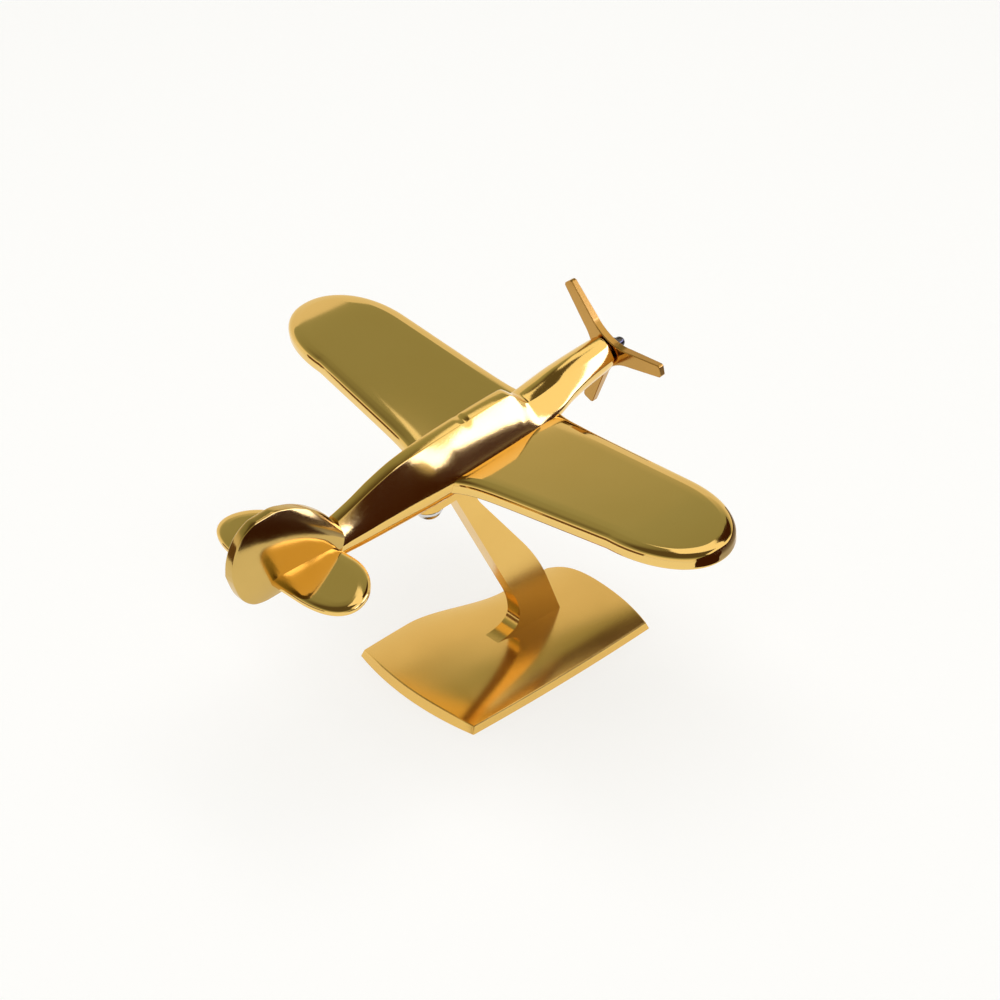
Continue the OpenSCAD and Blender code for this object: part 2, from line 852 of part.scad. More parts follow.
base_plate();
base_felt();
base_screws();
stand_arm();
stand_washers();
stand_screws();
fuselage();
wing_port();
wing_starboard();
wing_dowels();
tail_fin();
tail_stud();
tailplane_port();
tailplane_starboard();
tailplane_pin();
propeller_stud();
rear_washer();
propeller();
front_washer();
dome_nut();
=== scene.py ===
import math
import bmesh
import bpy
import numpy as np
from mathutils import Matrix


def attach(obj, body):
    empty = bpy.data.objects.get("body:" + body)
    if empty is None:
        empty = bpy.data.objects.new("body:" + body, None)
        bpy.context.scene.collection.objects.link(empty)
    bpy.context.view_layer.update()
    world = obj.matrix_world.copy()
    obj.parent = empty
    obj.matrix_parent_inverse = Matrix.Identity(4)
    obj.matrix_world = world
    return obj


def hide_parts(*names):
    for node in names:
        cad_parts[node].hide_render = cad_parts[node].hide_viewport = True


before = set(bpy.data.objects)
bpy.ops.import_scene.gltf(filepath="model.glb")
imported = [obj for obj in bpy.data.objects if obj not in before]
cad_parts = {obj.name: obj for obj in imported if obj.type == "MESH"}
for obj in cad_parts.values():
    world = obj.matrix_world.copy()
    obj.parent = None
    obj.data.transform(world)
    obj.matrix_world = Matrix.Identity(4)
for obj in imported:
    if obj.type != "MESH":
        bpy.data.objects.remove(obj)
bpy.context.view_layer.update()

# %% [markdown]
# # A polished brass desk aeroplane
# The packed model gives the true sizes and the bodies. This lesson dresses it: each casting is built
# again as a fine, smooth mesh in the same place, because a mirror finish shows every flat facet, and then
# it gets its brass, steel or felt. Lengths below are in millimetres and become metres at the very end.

MM = 0.001

# %% [markdown]
# The aeroplane flies nose up over its stand, so it has a frame of its own: +X to the nose, +Y to port and
# +Z up, with its origin in the middle of the wings' top face. `fly` carries a point of that frame over.

# %% The aeroplane's own frame
PITCH = math.radians(4.5)
PLANE_X, PLANE_Z = -4.3, 89.3


def fly(points):
    """Points of the aeroplane's frame, carried to where it flies over the stand."""
    p = np.asarray(points, float)
    c, s = math.cos(PITCH), math.sin(PITCH)
    x = PLANE_X + p[..., 0] * c - p[..., 2] * s
    z = PLANE_Z + p[..., 0] * s + p[..., 2] * c
    return np.stack([x, p[..., 1], z], -1)


print("the wings' middle flies at", fly([0, 0, 0]).round(1))

# %% [markdown]
# ## The camera
# A long lens looks down from behind the starboard wing. Its place follows from two angles, a distance and
# a small sideways shift, so it can be changed without guesswork.

# %% Camera
VIEW_AZ, VIEW_EL, VIEW_ROLL = math.radians(-41.95), math.radians(35.45), math.radians(-1.08)
VIEW_DISTANCE, VIEW_SIDE, VIEW_UP = 905.74, -2.02, 49.07
SENSOR_WIDTH, FOCAL_LENGTH = 36, 94.46
back = np.array([
    math.sin(VIEW_AZ) * math.cos(VIEW_EL),
    -math.cos(VIEW_AZ) * math.cos(VIEW_EL),
    math.sin(VIEW_EL),
])
level = np.cross(-back, [0, 0, 1])
level /= np.linalg.norm(level)
upright = np.cross(level, -back)
right = math.cos(VIEW_ROLL) * level + math.sin(VIEW_ROLL) * upright
up = math.cos(VIEW_ROLL) * upright - math.sin(VIEW_ROLL) * level
eye = VIEW_SIDE * right + VIEW_UP * up + VIEW_DISTANCE * back

camera_data = bpy.data.cameras.new("camera")
camera_data.sensor_width = SENSOR_WIDTH
camera_data.lens = FOCAL_LENGTH
camera_data.clip_start, camera_data.clip_end = 0.05, 50
camera = bpy.data.objects.new("camera", camera_data)
bpy.context.scene.collection.objects.link(camera)
turn = Matrix([(right[i], up[i], back[i]) for i in range(3)])
camera.matrix_world = Matrix.Translation(eye * MM) @ turn.to_4x4()
bpy.context.scene.camera = camera
bpy.context.scene.view_settings.view_transform = "Standard"
print("camera at", (eye * MM).round(4))

# %% [markdown]
# ## Shader sums in plain Python
# A material is easier to read as a sum than as a tangle of nodes. `Value` wraps a socket, and each
# operator adds the Math node it stands for, also with a plain number on its left. `Finish.node` adds any
# other node in one call, so a finish reads from top to bottom as it would be mixed at the bench.

# %% A socket that adds and multiplies


def math_node(operation, reflected=False):
    """An operator that adds one Math node. Reflected, it takes its two numbers the other way round."""
    def act(self, other):
        first, second = (other, self) if reflected else (self, other)
        return self.finish.node("ShaderNodeMath", {"operation": operation}, {0: first, 1: second})
    return act


class Value:
    """A number socket of a material that can be added, multiplied and so on."""

    def __init__(self, finish, socket):
        self.finish, self.socket = finish, socket

    def clamped(self):
        return self.finish.node("ShaderNodeClamp", {}, {0: self})

    __add__ = __radd__ = math_node("ADD")
    __mul__ = __rmul__ = math_node("MULTIPLY")
    __sub__, __rsub__ = math_node("SUBTRACT"), math_node("SUBTRACT", reflected=True)
    __truediv__, __rtruediv__ = math_node("DIVIDE"), math_node("DIVIDE", reflected=True)
    __pow__, __rpow__ = math_node("POWER"), math_node("POWER", reflected=True)


print("also with a number on the left:", [name for name in vars(Value) if name.startswith("__r")])

# %% One way to add any node


class Finish:
    """A node tree, and the one method that puts nodes in it."""

    def __init__(self, owner):
        owner.use_nodes = True
        self.owner, self.tree = owner, owner.node_tree
        self.tree.nodes.clear()

    def node(self, kind, settings=None, sockets=None, output=0):
        made = self.tree.nodes.new(kind)
        for key, value in (settings or {}).items():
            if key == "stops":
                ramp = made.color_ramp
                while len(ramp.elements) < len(value):
                    ramp.elements.new(0.5)
                for element, (place, colour) in zip(ramp.elements, value):
                    element.position, element.color = place, (*colour, 1)
            else:
                setattr(made, key, value)
        for key, value in (sockets or {}).items():
            if isinstance(value, Value):
                self.tree.links.new(value.socket, made.inputs[key])
            else:
                made.inputs[key].default_value = value
        return Value(self, made.outputs[output]) if made.outputs else made

    def place(self, scale=(1, 1, 1)):
        """Object coordinates, stretched."""
        spot = self.node("ShaderNodeTexCoord", output="Object")
        return self.node("ShaderNodeMapping", {"vector_type": "POINT"}, {"Vector": spot, "Scale": scale})

    def noise(self, vector, scale, detail, roughness=0.5):
        return self.node("ShaderNodeTexNoise", {"noise_dimensions": "3D"},
                         {"Vector": vector, "Scale": scale, "Detail": detail, "Roughness": roughness})

    def mix(self, factor, first, second):
        """Mixes two colours, which are sockets 6 and 7 of the Mix node. The mixed colour is output 2."""
        return self.node("ShaderNodeMix", {"data_type": "RGBA"}, {0: factor, 6: first, 7: second}, output=2)

    def bump(self, height, distance, normal=None):
        sockets = {"Height": height, "Distance": distance, "Strength": 1.0}
        if normal is not None:
            sockets["Normal"] = normal
        return self.node("ShaderNodeBump", {}, sockets)

    def surface(self, **sockets):
        """Ends the tree in a Principled shader with these sockets."""
        named = {key.replace("_", " "): value for key, value in sockets.items()}
        shader = self.node("ShaderNodeBsdfPrincipled", {}, named)
        self.node("ShaderNodeOutputMaterial", {}, {"Surface": shader})
        return self.owner


print("nodes are added by", Finish.node.__qualname__)

# %% [markdown]
# ## Brass, steel and felt
# Sand-cast brass polished on a mop isn't a perfect mirror. It keeps shallow waves a few centimetres long,
# a fine grain where the mop ran, and a slightly deeper tone where it has begun to tarnish. The waves and
# the grain are bump, the tarnish is colour, and handling leaves cloudy patches in the roughness. All of it
# could be painted on an image, but noise on Object coordinates needs no seams and no unwrapping.

# %% Brass
CLOUDS, WAVES, GRAIN = 38, 26, 1500


def patchy(value, polish):
    """A roughness round polish that a 0 to 1 value takes 30 % either way."""
    low, high = polish * 0.7, polish * 1.3
    return value * (high - low) + low


def brass(name, light, deep, polish, grain, waves):
    """Polished brass in two tones: polish is its roughness, grain and waves are bump heights in mm."""
    f = Finish(bpy.data.materials.new(name))
    spot = f.place()
    cloud = f.noise(spot, CLOUDS, 3)
    tone = f.mix(cloud, (*light, 1), (*deep, 1))
    smooth = f.bump(f.noise(spot, WAVES, 1), waves * MM)
    grained = f.bump(f.noise(spot, GRAIN, 3), grain * MM, smooth)
    return f.surface(Base_Color=tone, Metallic=1.0, Roughness=patchy(cloud, polish), Normal=grained)


cast_brass = brass("cast_brass", (0.91, 0.62, 0.20), (0.84, 0.54, 0.14), 0.11, 0.0080, 0.06)
# the fin's brass is painted far darker than the fuselage's: painted shade, standing in for the shaded floor
# that the fin would reflect
fin_brass = brass("fin_brass", (0.68, 0.46, 0.14), (0.55, 0.36, 0.10), 0.14, 0.0080, 0.06)
wing_brass = brass("wing_brass", (0.88, 0.60, 0.20), (0.83, 0.55, 0.16), 0.06, 0.0006, 0.05)
# the blades' brass is painted much darker than the rest: painted shade, standing in for the dark surroundings
# the blades would reflect
blade_brass = brass("blade_brass", (0.58, 0.32, 0.08), (0.44, 0.24, 0.05), 0.14, 0.0040, 0.05)
# the base and arm are satin brass, and their colour, a little deeper than the cast brass, is partly painted
# shade for the shaded floor they would reflect
plate_brass = brass("plate_brass", (0.87, 0.56, 0.16), (0.78, 0.48, 0.12), 0.17, 0.0030, 0.05)
print("brass finishes:", [m.name for m in (cast_brass, fin_brass, wing_brass, blade_brass, plate_brass)])

# %% [markdown]
# Screws, washers and dowels are plated steel, paler and cooler than the brass, and the propeller's nut is
# blackened. Felt has no shine at all: its look is all in short fibres, which one stretched noise gives.

# %% Steel and felt
STEEL_GRAIN, STEEL_GRAIN_H, STEEL_DEEP = 900, 0.0015, 0.86
FELT_FIBRE, FELT_NAP = 1700, 0.12


def steel(name, colour, polish):
    """Plated steel with a faint grain."""
    f = Finish(bpy.data.materials.new(name))
    speck = f.noise(f.place(), STEEL_GRAIN, 2)
    tone = f.mix(speck, (*colour, 1), (*[c * STEEL_DEEP for c in colour], 1))
    return f.surface(Base_Color=tone, Metallic=1.0, Roughness=patchy(speck, polish),
                     Normal=f.bump(speck, STEEL_GRAIN_H * MM))


def felt_finish(name):
    """Short dark green wool felt."""
    f = Finish(bpy.data.materials.new(name))
    fibre = f.noise(f.place((1, 1, 3)), FELT_FIBRE, 4, 0.7)
    tone = f.mix(fibre, (0.012, 0.045, 0.022, 1), (0.045, 0.13, 0.07, 1))
    return f.surface(Base_Color=tone, Metallic=0.0, Roughness=0.95, Normal=f.bump(fibre, FELT_NAP * MM))


bright_steel = steel("bright_steel", (0.72, 0.72, 0.73), 0.10)
dark_steel = steel("dark_steel", (0.10, 0.095, 0.10), 0.12)
green_felt = felt_finish("green_felt")
print("steel and felt ready")

# %% [markdown]
# ## From points to a piece
# Every casting here is a loft: closed rings of points, joined ring to ring, with a flat cap at each end.
# It could be modelled by hand with loop cuts, but rings from a table keep each section exact. Face normals
# are made to point outwards, and edges sharper than `sharp` degrees stay crisp.

# %% Making and dressing a piece
WELD = 1e-7  # metres


def bare_object(name, points, faces):
    """A mesh object in metres from points in millimetres, welded and with outward faces."""
    mesh = bpy.data.meshes.new(name)
    mesh.from_pydata((np.asarray(points, float) * MM).tolist(), [], faces)
    bm = bmesh.new()
    bm.from_mesh(mesh)
    bmesh.ops.remove_doubles(bm, verts=bm.verts, dist=WELD)
    bmesh.ops.recalc_face_normals(bm, faces=bm.faces)
    bm.to_mesh(mesh)
    bm.free()
    made = bpy.data.objects.new(name, mesh)
    bpy.context.scene.collection.objects.link(made)
    return made


def add_piece(name, points, faces, finish, **how):
    """Makes one finished piece from points in millimetres. What dress asks for is in how."""
    return dress(bare_object(name, points, faces), finish, **how)


def dress(piece, finish, sharp=38, bevel=0.0, body="root", slot="polished_brass", *, replaces):
    """Bevels, smooths and paints a mesh object, then ties it to its body."""
    piece.data.materials.clear()
    piece.data.materials.append(finish)
    piece.data.shade_smooth()
    piece.data.set_sharp_from_angle(angle=math.radians(sharp))
    if bevel:
        rounding = piece.modifiers.new("rounding", "BEVEL")
        rounding.width, rounding.segments = bevel * MM, 3
        rounding.limit_method, rounding.angle_limit = "ANGLE", math.radians(sharp)
        rounding.use_clamp_overlap = True
    weigh = piece.modifiers.new("weigh", "WEIGHTED_NORMAL")
    weigh.keep_sharp = True
    apply_all(piece)
    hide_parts(*replaces)
    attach(piece, body)
    print(f"{piece.name}: {len(piece.data.polygons)} faces")
    return piece


def apply_all(piece):
    """Turns a piece with live modifiers into a plain mesh."""
    depsgraph = bpy.context.evaluated_depsgraph_get()
    made = bpy.data.meshes.new_from_object(piece.evaluated_get(depsgraph))
    piece.modifiers.clear()
    old = piece.data
    piece.data = made
    bpy.data.meshes.remove(old)
    made.name = piece.name


print("pieces are dressed by", dress.__name__)

# %% [markdown]
# A flat cap shades badly beside a round flank, because the corner normals are averaged over its edge. So
# each cap gets an inner ring close to its edge, and the blend stays in that narrow band.

# %% Faces between rings
CAP_INNER = 0.93


def quads(rows, closed=False):
    """Quads between neighbours in rows of point numbers. Closed rows run round in rings."""
    if closed:
        rows = [[*row, row[0]] for row in rows]
    return [(a[j], a[j + 1], b[j + 1], b[j]) for a, b in zip(rows, rows[1:]) for j in range(len(a) - 1)]


def numbered(rings):
    """The points of a stack of rings in one list, and their numbers ring by ring."""
    count, around = rings.shape[:2]
    return list(rings.reshape(-1, 3)), np.arange(count * around).reshape(count, around).tolist()


def loft(rings):
    """Points and faces of a solid through closed rings, with capped ends."""
    rings = np.asarray(rings, float)
    points, rows = numbered(rings)
    faces = quads(rows, closed=True)
    for edge, rim in ((rows[0], rings[0]), (rows[-1], rings[-1])):
        middle = rim.mean(0)
        inner = list(range(len(points), len(points) + len(rim)))
        points += list(middle + (rim - middle) * CAP_INNER)
        faces += quads([edge, inner], closed=True)
        faces.append(tuple(inner))
    return points, faces


triangles = [[[k, 0, 0], [0, k, 0], [0, 0, k]] for k in (1, 2)]
print("a loft through two triangles has", len(loft(triangles)[1]), "faces")

# %% Curves between points


def monotone(table, x):
    """Each column of a table of stations at x, on a curve that never overshoots its stations."""
    t = np.asarray(table, float)
    step = np.diff(t[:, 0])[:, None]
    chord = np.diff(t, axis=0) / step
    slope = np.vstack([chord[:1], np.zeros((len(t) - 2, t.shape[1])), chord[-1:]])
    a, b = chord[:-1], chord[1:]
    same = a * b > 0
    slope[1:-1][same] = (2 * a * b)[same] / (a + b)[same]
    x = np.atleast_1d(x)
    i = np.clip(np.searchsorted(t[:, 0], x, side="right") - 1, 0, len(t) - 2)
    h = step[i]
    u = ((x - t[i, 0]) / h[:, 0])[:, None]
    return (t[i] * (1 + 2 * u) * (1 - u) ** 2 + t[i + 1] * u * u * (3 - 2 * u)
            + h * slope[i] * u * (1 - u) ** 2 - h * slope[i + 1] * u * u * (1 - u))


def eased(share):
    """A soft step from 0 to 1."""
    share = min(max(share, 0), 1)
    return share * share * (3 - 2 * share)


def bend(a, b, c, steps, first=True):
    """Points of a curve from a to c that leaves and arrives along b, without a itself if first is False."""
    a, b, c = (np.asarray(p, float) for p in (a, b, c))
    u = np.linspace(0, 1, steps + 1)[0 if first else 1:, None]
    return list(a * (1 - u) ** 2 + b * 2 * u * (1 - u) + c * u * u)


def rounded(path, corners, radius):
    """A path with some of its corners rounded off, each over less than half of its sides."""
    made = []
    for i, p in enumerate(path):
        if i not in corners:
            made.append(p)
            continue
        before, after = path[i - 1] - p, path[i + 1] - p
        start = p + before * min(radius / np.linalg.norm(before), 0.45)
        end = p + after * min(radius / np.linalg.norm(after), 0.45)
        made += bend(start, p, end, 3)
    return made


print("half way along a soft step:", eased(0.5))

# %% [markdown]
# ## The fuselage
# One casting from the tail joint to the nose: a flat belly, round flanks, a sharp-edged spine that widens
# into the engine cowl, and a step where the windscreen would be. A subdivided box could give this shape,
# but would soften the spine's edges, which catch the light on the real casting. So its shape is a table of
# stations: each gives the spine's half width and height, the widest point and the belly's edge.

# %% Stations of the fuselage
TAIL_X, NOSE_X, JOINT_Z, JOINT_LEAN = -69.0, 50.4, -2.8, math.tan(math.radians(20))
TAIL_LAP = 3.5
# x, half width and height of the spine, half width and height of the widest point, half width and
# height of the belly's edge, and how far the spine's middle rises
STATIONS = [
    [TAIL_X - TAIL_LAP, 1.8, 3.0, 6.0, -2.7, 3.5, -8.1, 0.1],
    [TAIL_X + 3.2, 1.9, 4.4, 5.9, -2.7, 3.6, -8.3, 0.1],
    [-60, 1.9, 5.9, 6.2, -2.7, 3.8, -8.7, 0.1],
    [-50, 2.1, 9.0, 6.9, -2.5, 4.2, -9.1, 0.1],
    [-40, 2.2, 11.2, 7.9, -2.3, 4.6, -9.4, 0.1],
    [-30, 2.5, 12.0, 9.9, -1.2, 5.0, -9.5, 0.2],
    [-20, 2.6, 12.4, 10.8, -0.8, 5.0, -9.5, 0.2],
    [0, 2.4, 12.8, 10.7, -0.9, 5.0, -9.5, 0.2],
    [6, 2.4, 12.6, 10.5, -0.9, 5.0, -9.3, 0.2],
    [13.4, 4.2, 6.8, 10.3, -0.6, 4.9, -8.0, 0.8],
    [22, 4.5, 7.4, 9.9, 1.6, 4.6, -4.6, 1.2],
    [30, 4.3, 8.5, 8.6, 3.8, 4.2, -2.6, 1.5],
    [40, 4.1, 9.1, 7.2, 4.8, 3.8, -1.2, 1.8],
    [NOSE_X - 0.6, 3.6, 9.4, 6.1, 5.1, 3.2, 0.1, 1.8],
    [NOSE_X, 3.1, 9.0, 5.6, 5.1, 2.8, 0.6, 1.6],
]
print(len(STATIONS), "stations from", STATIONS[0][0], "to", STATIONS[-1][0])

# %% A section from its station
SPINE_STEPS, FLANK_STEPS, TUCK_STEPS, EDGE_R = 5, 14, 9, 0.3
# a small nick across the spine
NICK_X, NICK_WIDTH, NICK_DEPTH = -12.4, 0.9, 0.3
# how far down the flank its curve is pulled, and how much more so towards the tail and in the cowl
FALL_WAIST, FALL_ENDS = 0.72, 0.13
AFT_FROM, AFT_OVER, FORE_FROM, FORE_OVER = -25, 25, 6, 14
# where the curve under the widest point is pulled: a little inwards, and most of the way down
TUCK_IN, TUCK_DOWN = 0.08, 0.62


def fuselage_half(row):
    """Half a section as [y, z], from the middle of the spine to the middle of the belly."""
    x, spine, top, wide, wide_z, belly, low, crown = row
    fall = FALL_WAIST + FALL_ENDS * max(eased((AFT_FROM - x) / AFT_OVER), eased((x - FORE_FROM) / FORE_OVER))
    knee = [wide, top - fall * (top - wide_z)]
    tuck = [wide - TUCK_IN * (wide - belly), wide_z - TUCK_DOWN * (wide_z - low)]
    ridge = top - NICK_DEPTH * math.exp(-((x - NICK_X) / NICK_WIDTH) ** 2)
    across = [k / SPINE_STEPS for k in range(SPINE_STEPS + 1)]
    path = [np.array([spine * k, ridge + crown * (1 - k ** 2)]) for k in across]
    path += bend([spine, top], knee, [wide, wide_z], FLANK_STEPS, False)
    path += bend([wide, wide_z], tuck, [belly, low], TUCK_STEPS, False)
    path += [np.array([belly * k, low]) for k in (0.66, 0.33, 0)]
    return np.array(rounded(path, (SPINE_STEPS, SPINE_STEPS + FLANK_STEPS + TUCK_STEPS), EDGE_R))


def whole(half):
    """A closed ring in y and z from its half on the +Y side."""
    return np.vstack([half, half[-2:0:-1] * [-1, 1]])


print("points round a section:", len(whole(fuselage_half(STATIONS[0]))))

# %% Fuselage casting


def leaning(x, section_at, fade):
    """A ring at x that leans over to the tail joint's plane once x is within fade of it."""
    share = max(0.0, 1 - abs(x - TAIL_X) / fade) ** 2
    lean = share * JOINT_LEAN
    level_half = section_at(np.full(1, x))[0]
    xs = x + lean * (level_half[:, 1] - JOINT_Z)
    each = np.arange(len(xs))
    ring = whole(section_at(xs)[each, each])
    return np.column_stack([x + lean * (ring[:, 1] - JOINT_Z), ring])


grid_x = np.linspace(TAIL_X - TAIL_LAP, NOSE_X, 320)
sections = np.array([fuselage_half(row) for row in monotone(STATIONS, grid_x)])


def fuselage_at(x):
    """Sections between those of the grid."""
    place = np.clip((x - grid_x[0]) / (grid_x[1] - grid_x[0]), 0, len(grid_x) - 1.001)
    low = place.astype(int)
    share = (place - low)[:, None, None]
    return sections[low] * (1 - share) + sections[low + 1] * share


fuselage_x = np.concatenate([
    np.arange(TAIL_X, 4, 1.0), np.arange(4, 16, 0.5), np.arange(16, NOSE_X - 1, 1.0),
    np.linspace(NOSE_X - 0.8, NOSE_X, 5),
])
points, faces = loft([leaning(x, fuselage_at, 14.0) for x in fuselage_x])
add_piece("fuselage_casting", fly(points), faces, cast_brass, sharp=50, replaces=["fuselage"])

# %% [markdown]
# ## The tail casting
# Fin and rudder are one lens-shaped disc with a flat rim, and meet the fuselage on a plane that leans
# over. A scaled sphere would be quicker, but has no rim. The outline turns right round at the back, where
# equal steps along the fuselage would leave big gaps, so the sections are spaced by arc length.

# %% Tail casting
FIN_RIM, FIN_STEPS, FIN_BULGE, FIN_EDGE_R = 1.65, 27, 2.4, 0.35
RIM_DROP, RIM_EASE = 0.03, 0.12
ROUND_SHARE, RING_STEP = 0.62, 0.8
# x, top, bottom and half thickness
FIN_STATIONS = np.array([
    [-107.9, 6.4, 4.6, FIN_RIM + 0.3],
    [-107.5, 9.2, 2.4, 2.1],
    [-106.2, 13.0, -2.4, 2.3],
    [-104, 16.6, -6.0, 2.9],
    [-100.5, 19.6, -8.6, 3.6],
    [-96, 21.2, -9.5, 4.3],
    [-90, 21.2, -9.6, 4.9],
    [-84, 19.4, -9.4, 5.3],
    [-78, 16.0, -9.0, 5.8],
    [-72, 10.8, -8.6, 6.1],
    [-66, 4.0, -8.3, 6.1],
    [TAIL_X + 5.5, 1.4, -8.2, 6.0],
])
travel = np.concatenate([[0], np.cumsum(np.hypot(*np.diff(FIN_STATIONS[:, :2], axis=0).T))])
along = np.linspace(0, travel[-1], 220)
fin_rows = monotone(np.column_stack([travel, FIN_STATIONS]), along)[:, 1:]
print("the fin's outline is", round(travel[-1], 1), "mm long from the back to the joint")

# %% Sections of the tail casting


def fin_at(x):
    """Half sections of the tail casting at x, from the rim's middle above to the one below."""
    made = []
    for value in np.atleast_1d(x):
        top, bottom, fat = (np.interp(value, fin_rows[:, 0], fin_rows[:, k]) for k in (1, 2, 3))
        s = np.linspace(-1, 1, FIN_STEPS)
        half = [np.array([0.0, top]), np.array([FIN_RIM * 0.5, top - RIM_DROP])]
        half += list(np.column_stack([
            FIN_RIM + (fat - FIN_RIM) * (1 - np.abs(s) ** FIN_BULGE),
            top - RIM_EASE + (bottom - top + 2 * RIM_EASE) * (s + 1) / 2,
        ]))
        half += [np.array([FIN_RIM * 0.5, bottom + RIM_DROP]), np.array([0.0, bottom])]
        made.append(np.array(rounded(half, (2, FIN_STEPS + 1), FIN_EDGE_R)))
    return np.array(made)


fin_x = np.interp(np.linspace(0, travel[-1] * ROUND_SHARE, 60), along, fin_rows[:, 0])
fin_x = np.concatenate([fin_x, np.arange(fin_x[-1] + RING_STEP, TAIL_X, RING_STEP), [TAIL_X]])
points, faces = loft([leaning(x, fin_at, 9.0) for x in fin_x])
add_piece("tail_casting", fly(points), faces, fin_brass, sharp=50, replaces=["tail_fin"])

# %% [markdown]
# ## Wings and tailplanes
# Each is a flat plate whose edge rolls over widely above and is tucked in a little below. A Bevel modifier
# would round both alike, so one function rolls the edge round any plan instead. It fills the flat faces
# with strips from the front edge to the back one, so that they shade dead flat.

# %% Plates
# the rolled edge from its underside up: inset from the outline, and share of the thickness below the top
EDGE = [[0.8, 1.0], [0.25, 0.93], [0, 0.75], [0, 0.45], [0.6, 0.18], [1.8, 0.06], [4.2, 0]]
EDGE_ROLL = monotone([[k, *row] for k, row in enumerate(EDGE)], np.linspace(0, len(EDGE) - 1, 25))[:, 1:]
FILL = 12


def plate(plan, thick):
    """Points and faces of a plate with a rolled edge. The plan runs from front root round to back root."""
    rings = np.array([
        [[x - inset * nx, y - inset * ny, -thick * share] for x, y, nx, ny in plan]
        for inset, share in EDGE_ROLL
    ])
    points, rows = numbered(rings)
    faces = quads(rows)
    around, roots = len(plan), []
    for ring, numbers in ((rings[0], rows[0]), (rings[-1], rows[-1])):
        strips = []
        for j in range(around // 2):
            a, b = ring[j], ring[-1 - j]
            first = len(points)
            points += [a + (b - a) * k / FILL for k in range(1, FILL)]
            strips.append([numbers[j], *range(first, len(points)), numbers[-1 - j]])
        faces += quads(strips)
        faces.append((*strips[-1], numbers[around // 2]))
        roots.append(strips[0])
    front = [row[0] for row in rows[1:-1]]
    rear = [row[-1] for row in rows[-2:0:-1]]
    faces.append((roots[0][0], *front, *roots[1], *rear, *roots[0][:0:-1]))
    return points, faces


print("rings in the rolled edge:", len(EDGE_ROLL))

# %% Wing and tailplane plans
SPAN, WING_T, WING_FRONT, WING_BACK, TAPER, TIP = 200, 5.2, 21.3, 25.6, 9.4, 31
WING_ROOT, FORE_SWEEP, TIP_POWER = 7.4, 1.2, 0.95
FLARE, FLARE_FROM, FLARE_FADE, FLARE_FRONT = 2.4, 10, 5, 0.4
DIHEDRAL, TIP_DROOP = math.radians(3.6), 1.0
TAIL_SPAN, TAIL_T, TAIL_DROP, TAIL_FRONT, TAIL_BACK, TAIL_SWEEP = 64.6, 2.6, 0.7, -70.6, -95.2, 2.4
TAIL_ROOT, TAIL_TIP, ROOT_IN_FRONT, ROOT_IN_BACK = 2.6, 18, 0.6, 0.4


def half_turn(steps):
    """Pairs (forwards, outwards) that swing from the front round to the back in equal steps."""
    angles = [math.pi / 2 - math.pi * k / steps for k in range(steps + 1)]
    return [(math.sin(a), max(math.cos(a), 0)) for a in angles]


def flare(y):
    """How far the wing's back edge flares out towards the fuselage."""
    return FLARE * math.exp(-(y - FLARE_FROM) / FLARE_FADE)


def wing_plan():
    """The wing's outline as rows of x, y and the outward direction."""
    y1 = SPAN / 2 - TIP
    tip_front, tip_back = WING_FRONT + FORE_SWEEP, WING_BACK - TAPER
    middle, reach = (tip_front - tip_back) / 2, (tip_front + tip_back) / 2
    spans = [WING_ROOT + (y1 - WING_ROOT) * (k / 24) ** 1.4 for k in range(24)]
    front = [[WING_FRONT + FORE_SWEEP * y / y1 + FLARE_FRONT * flare(y), y, 1, 0] for y in spans]
    rear = [[-WING_BACK + TAPER * y / y1 - flare(y), y, -1, 0] for y in spans[::-1]]
    tip = [[middle + reach * math.copysign(abs(s) ** TIP_POWER, s), y1 + TIP * c ** TIP_POWER, s, c]
           for s, c in half_turn(64)]
    return front + tip + rear


def tailplane_plan():
    """The tailplane's outline, in the same way."""
    y1, middle, reach = TAIL_SPAN / 2 - TAIL_TIP, (TAIL_FRONT + TAIL_BACK) / 2, (TAIL_FRONT - TAIL_BACK) / 2
    tip = [[middle + reach * s - TAIL_SWEEP * c * c, y1 + TAIL_TIP * c, s, c] for s, c in half_turn(56)]
    return [[TAIL_FRONT - ROOT_IN_FRONT, TAIL_ROOT, 1, 0], *tip, [TAIL_BACK - ROOT_IN_BACK, TAIL_ROOT, -1, 0]]


def wing_points(points, side):
    """Tips a flat wing up by the dihedral, for the port side (1) or the starboard one (-1).

    The polishing mop also takes a little off towards the tip, which droops by TIP_DROOP."""
    p = np.array(points)
    p[:, 2] -= TIP_DROOP * np.clip((p[:, 1] - SPAN / 2 + TIP) / TIP, 0, 1) ** 3
    y = p[:, 1] * math.cos(DIHEDRAL) - p[:, 2] * math.sin(DIHEDRAL)
    z = p[:, 1] * math.sin(DIHEDRAL) + p[:, 2] * math.cos(DIHEDRAL)
    return np.column_stack([p[:, 0], side * y, z])


print("plan points:", len(wing_plan()), "for a wing and", len(tailplane_plan()), "for a tailplane")

# %% Wings and tailplanes, port and starboard
wing_mesh = plate(wing_plan(), WING_T)
tail_mesh = plate(tailplane_plan(), TAIL_T)
for side_name, side in (("port", 1), ("starboard", -1)):
    add_piece("wing_plate_" + side_name, fly(wing_points(wing_mesh[0], side)), wing_mesh[1], wing_brass,
              replaces=["wing_" + side_name])
    flat = np.array(tail_mesh[0]) * [1, side, 1] - [0, 0, TAIL_DROP]
    add_piece("tailplane_plate_" + side_name, fly(flat), tail_mesh[1], wing_brass,
              replaces=["tailplane_" + side_name])

# %% [markdown]
# ## The base
# A shallow pillow with straight rims. Sculpting would leave dents that a mirror finish shows, so the
# height is a formula: a grid, u along and v across, is bent to the outline and raised to the crown, and a
# narrow bevel breaks the edge where the polish has worn it.

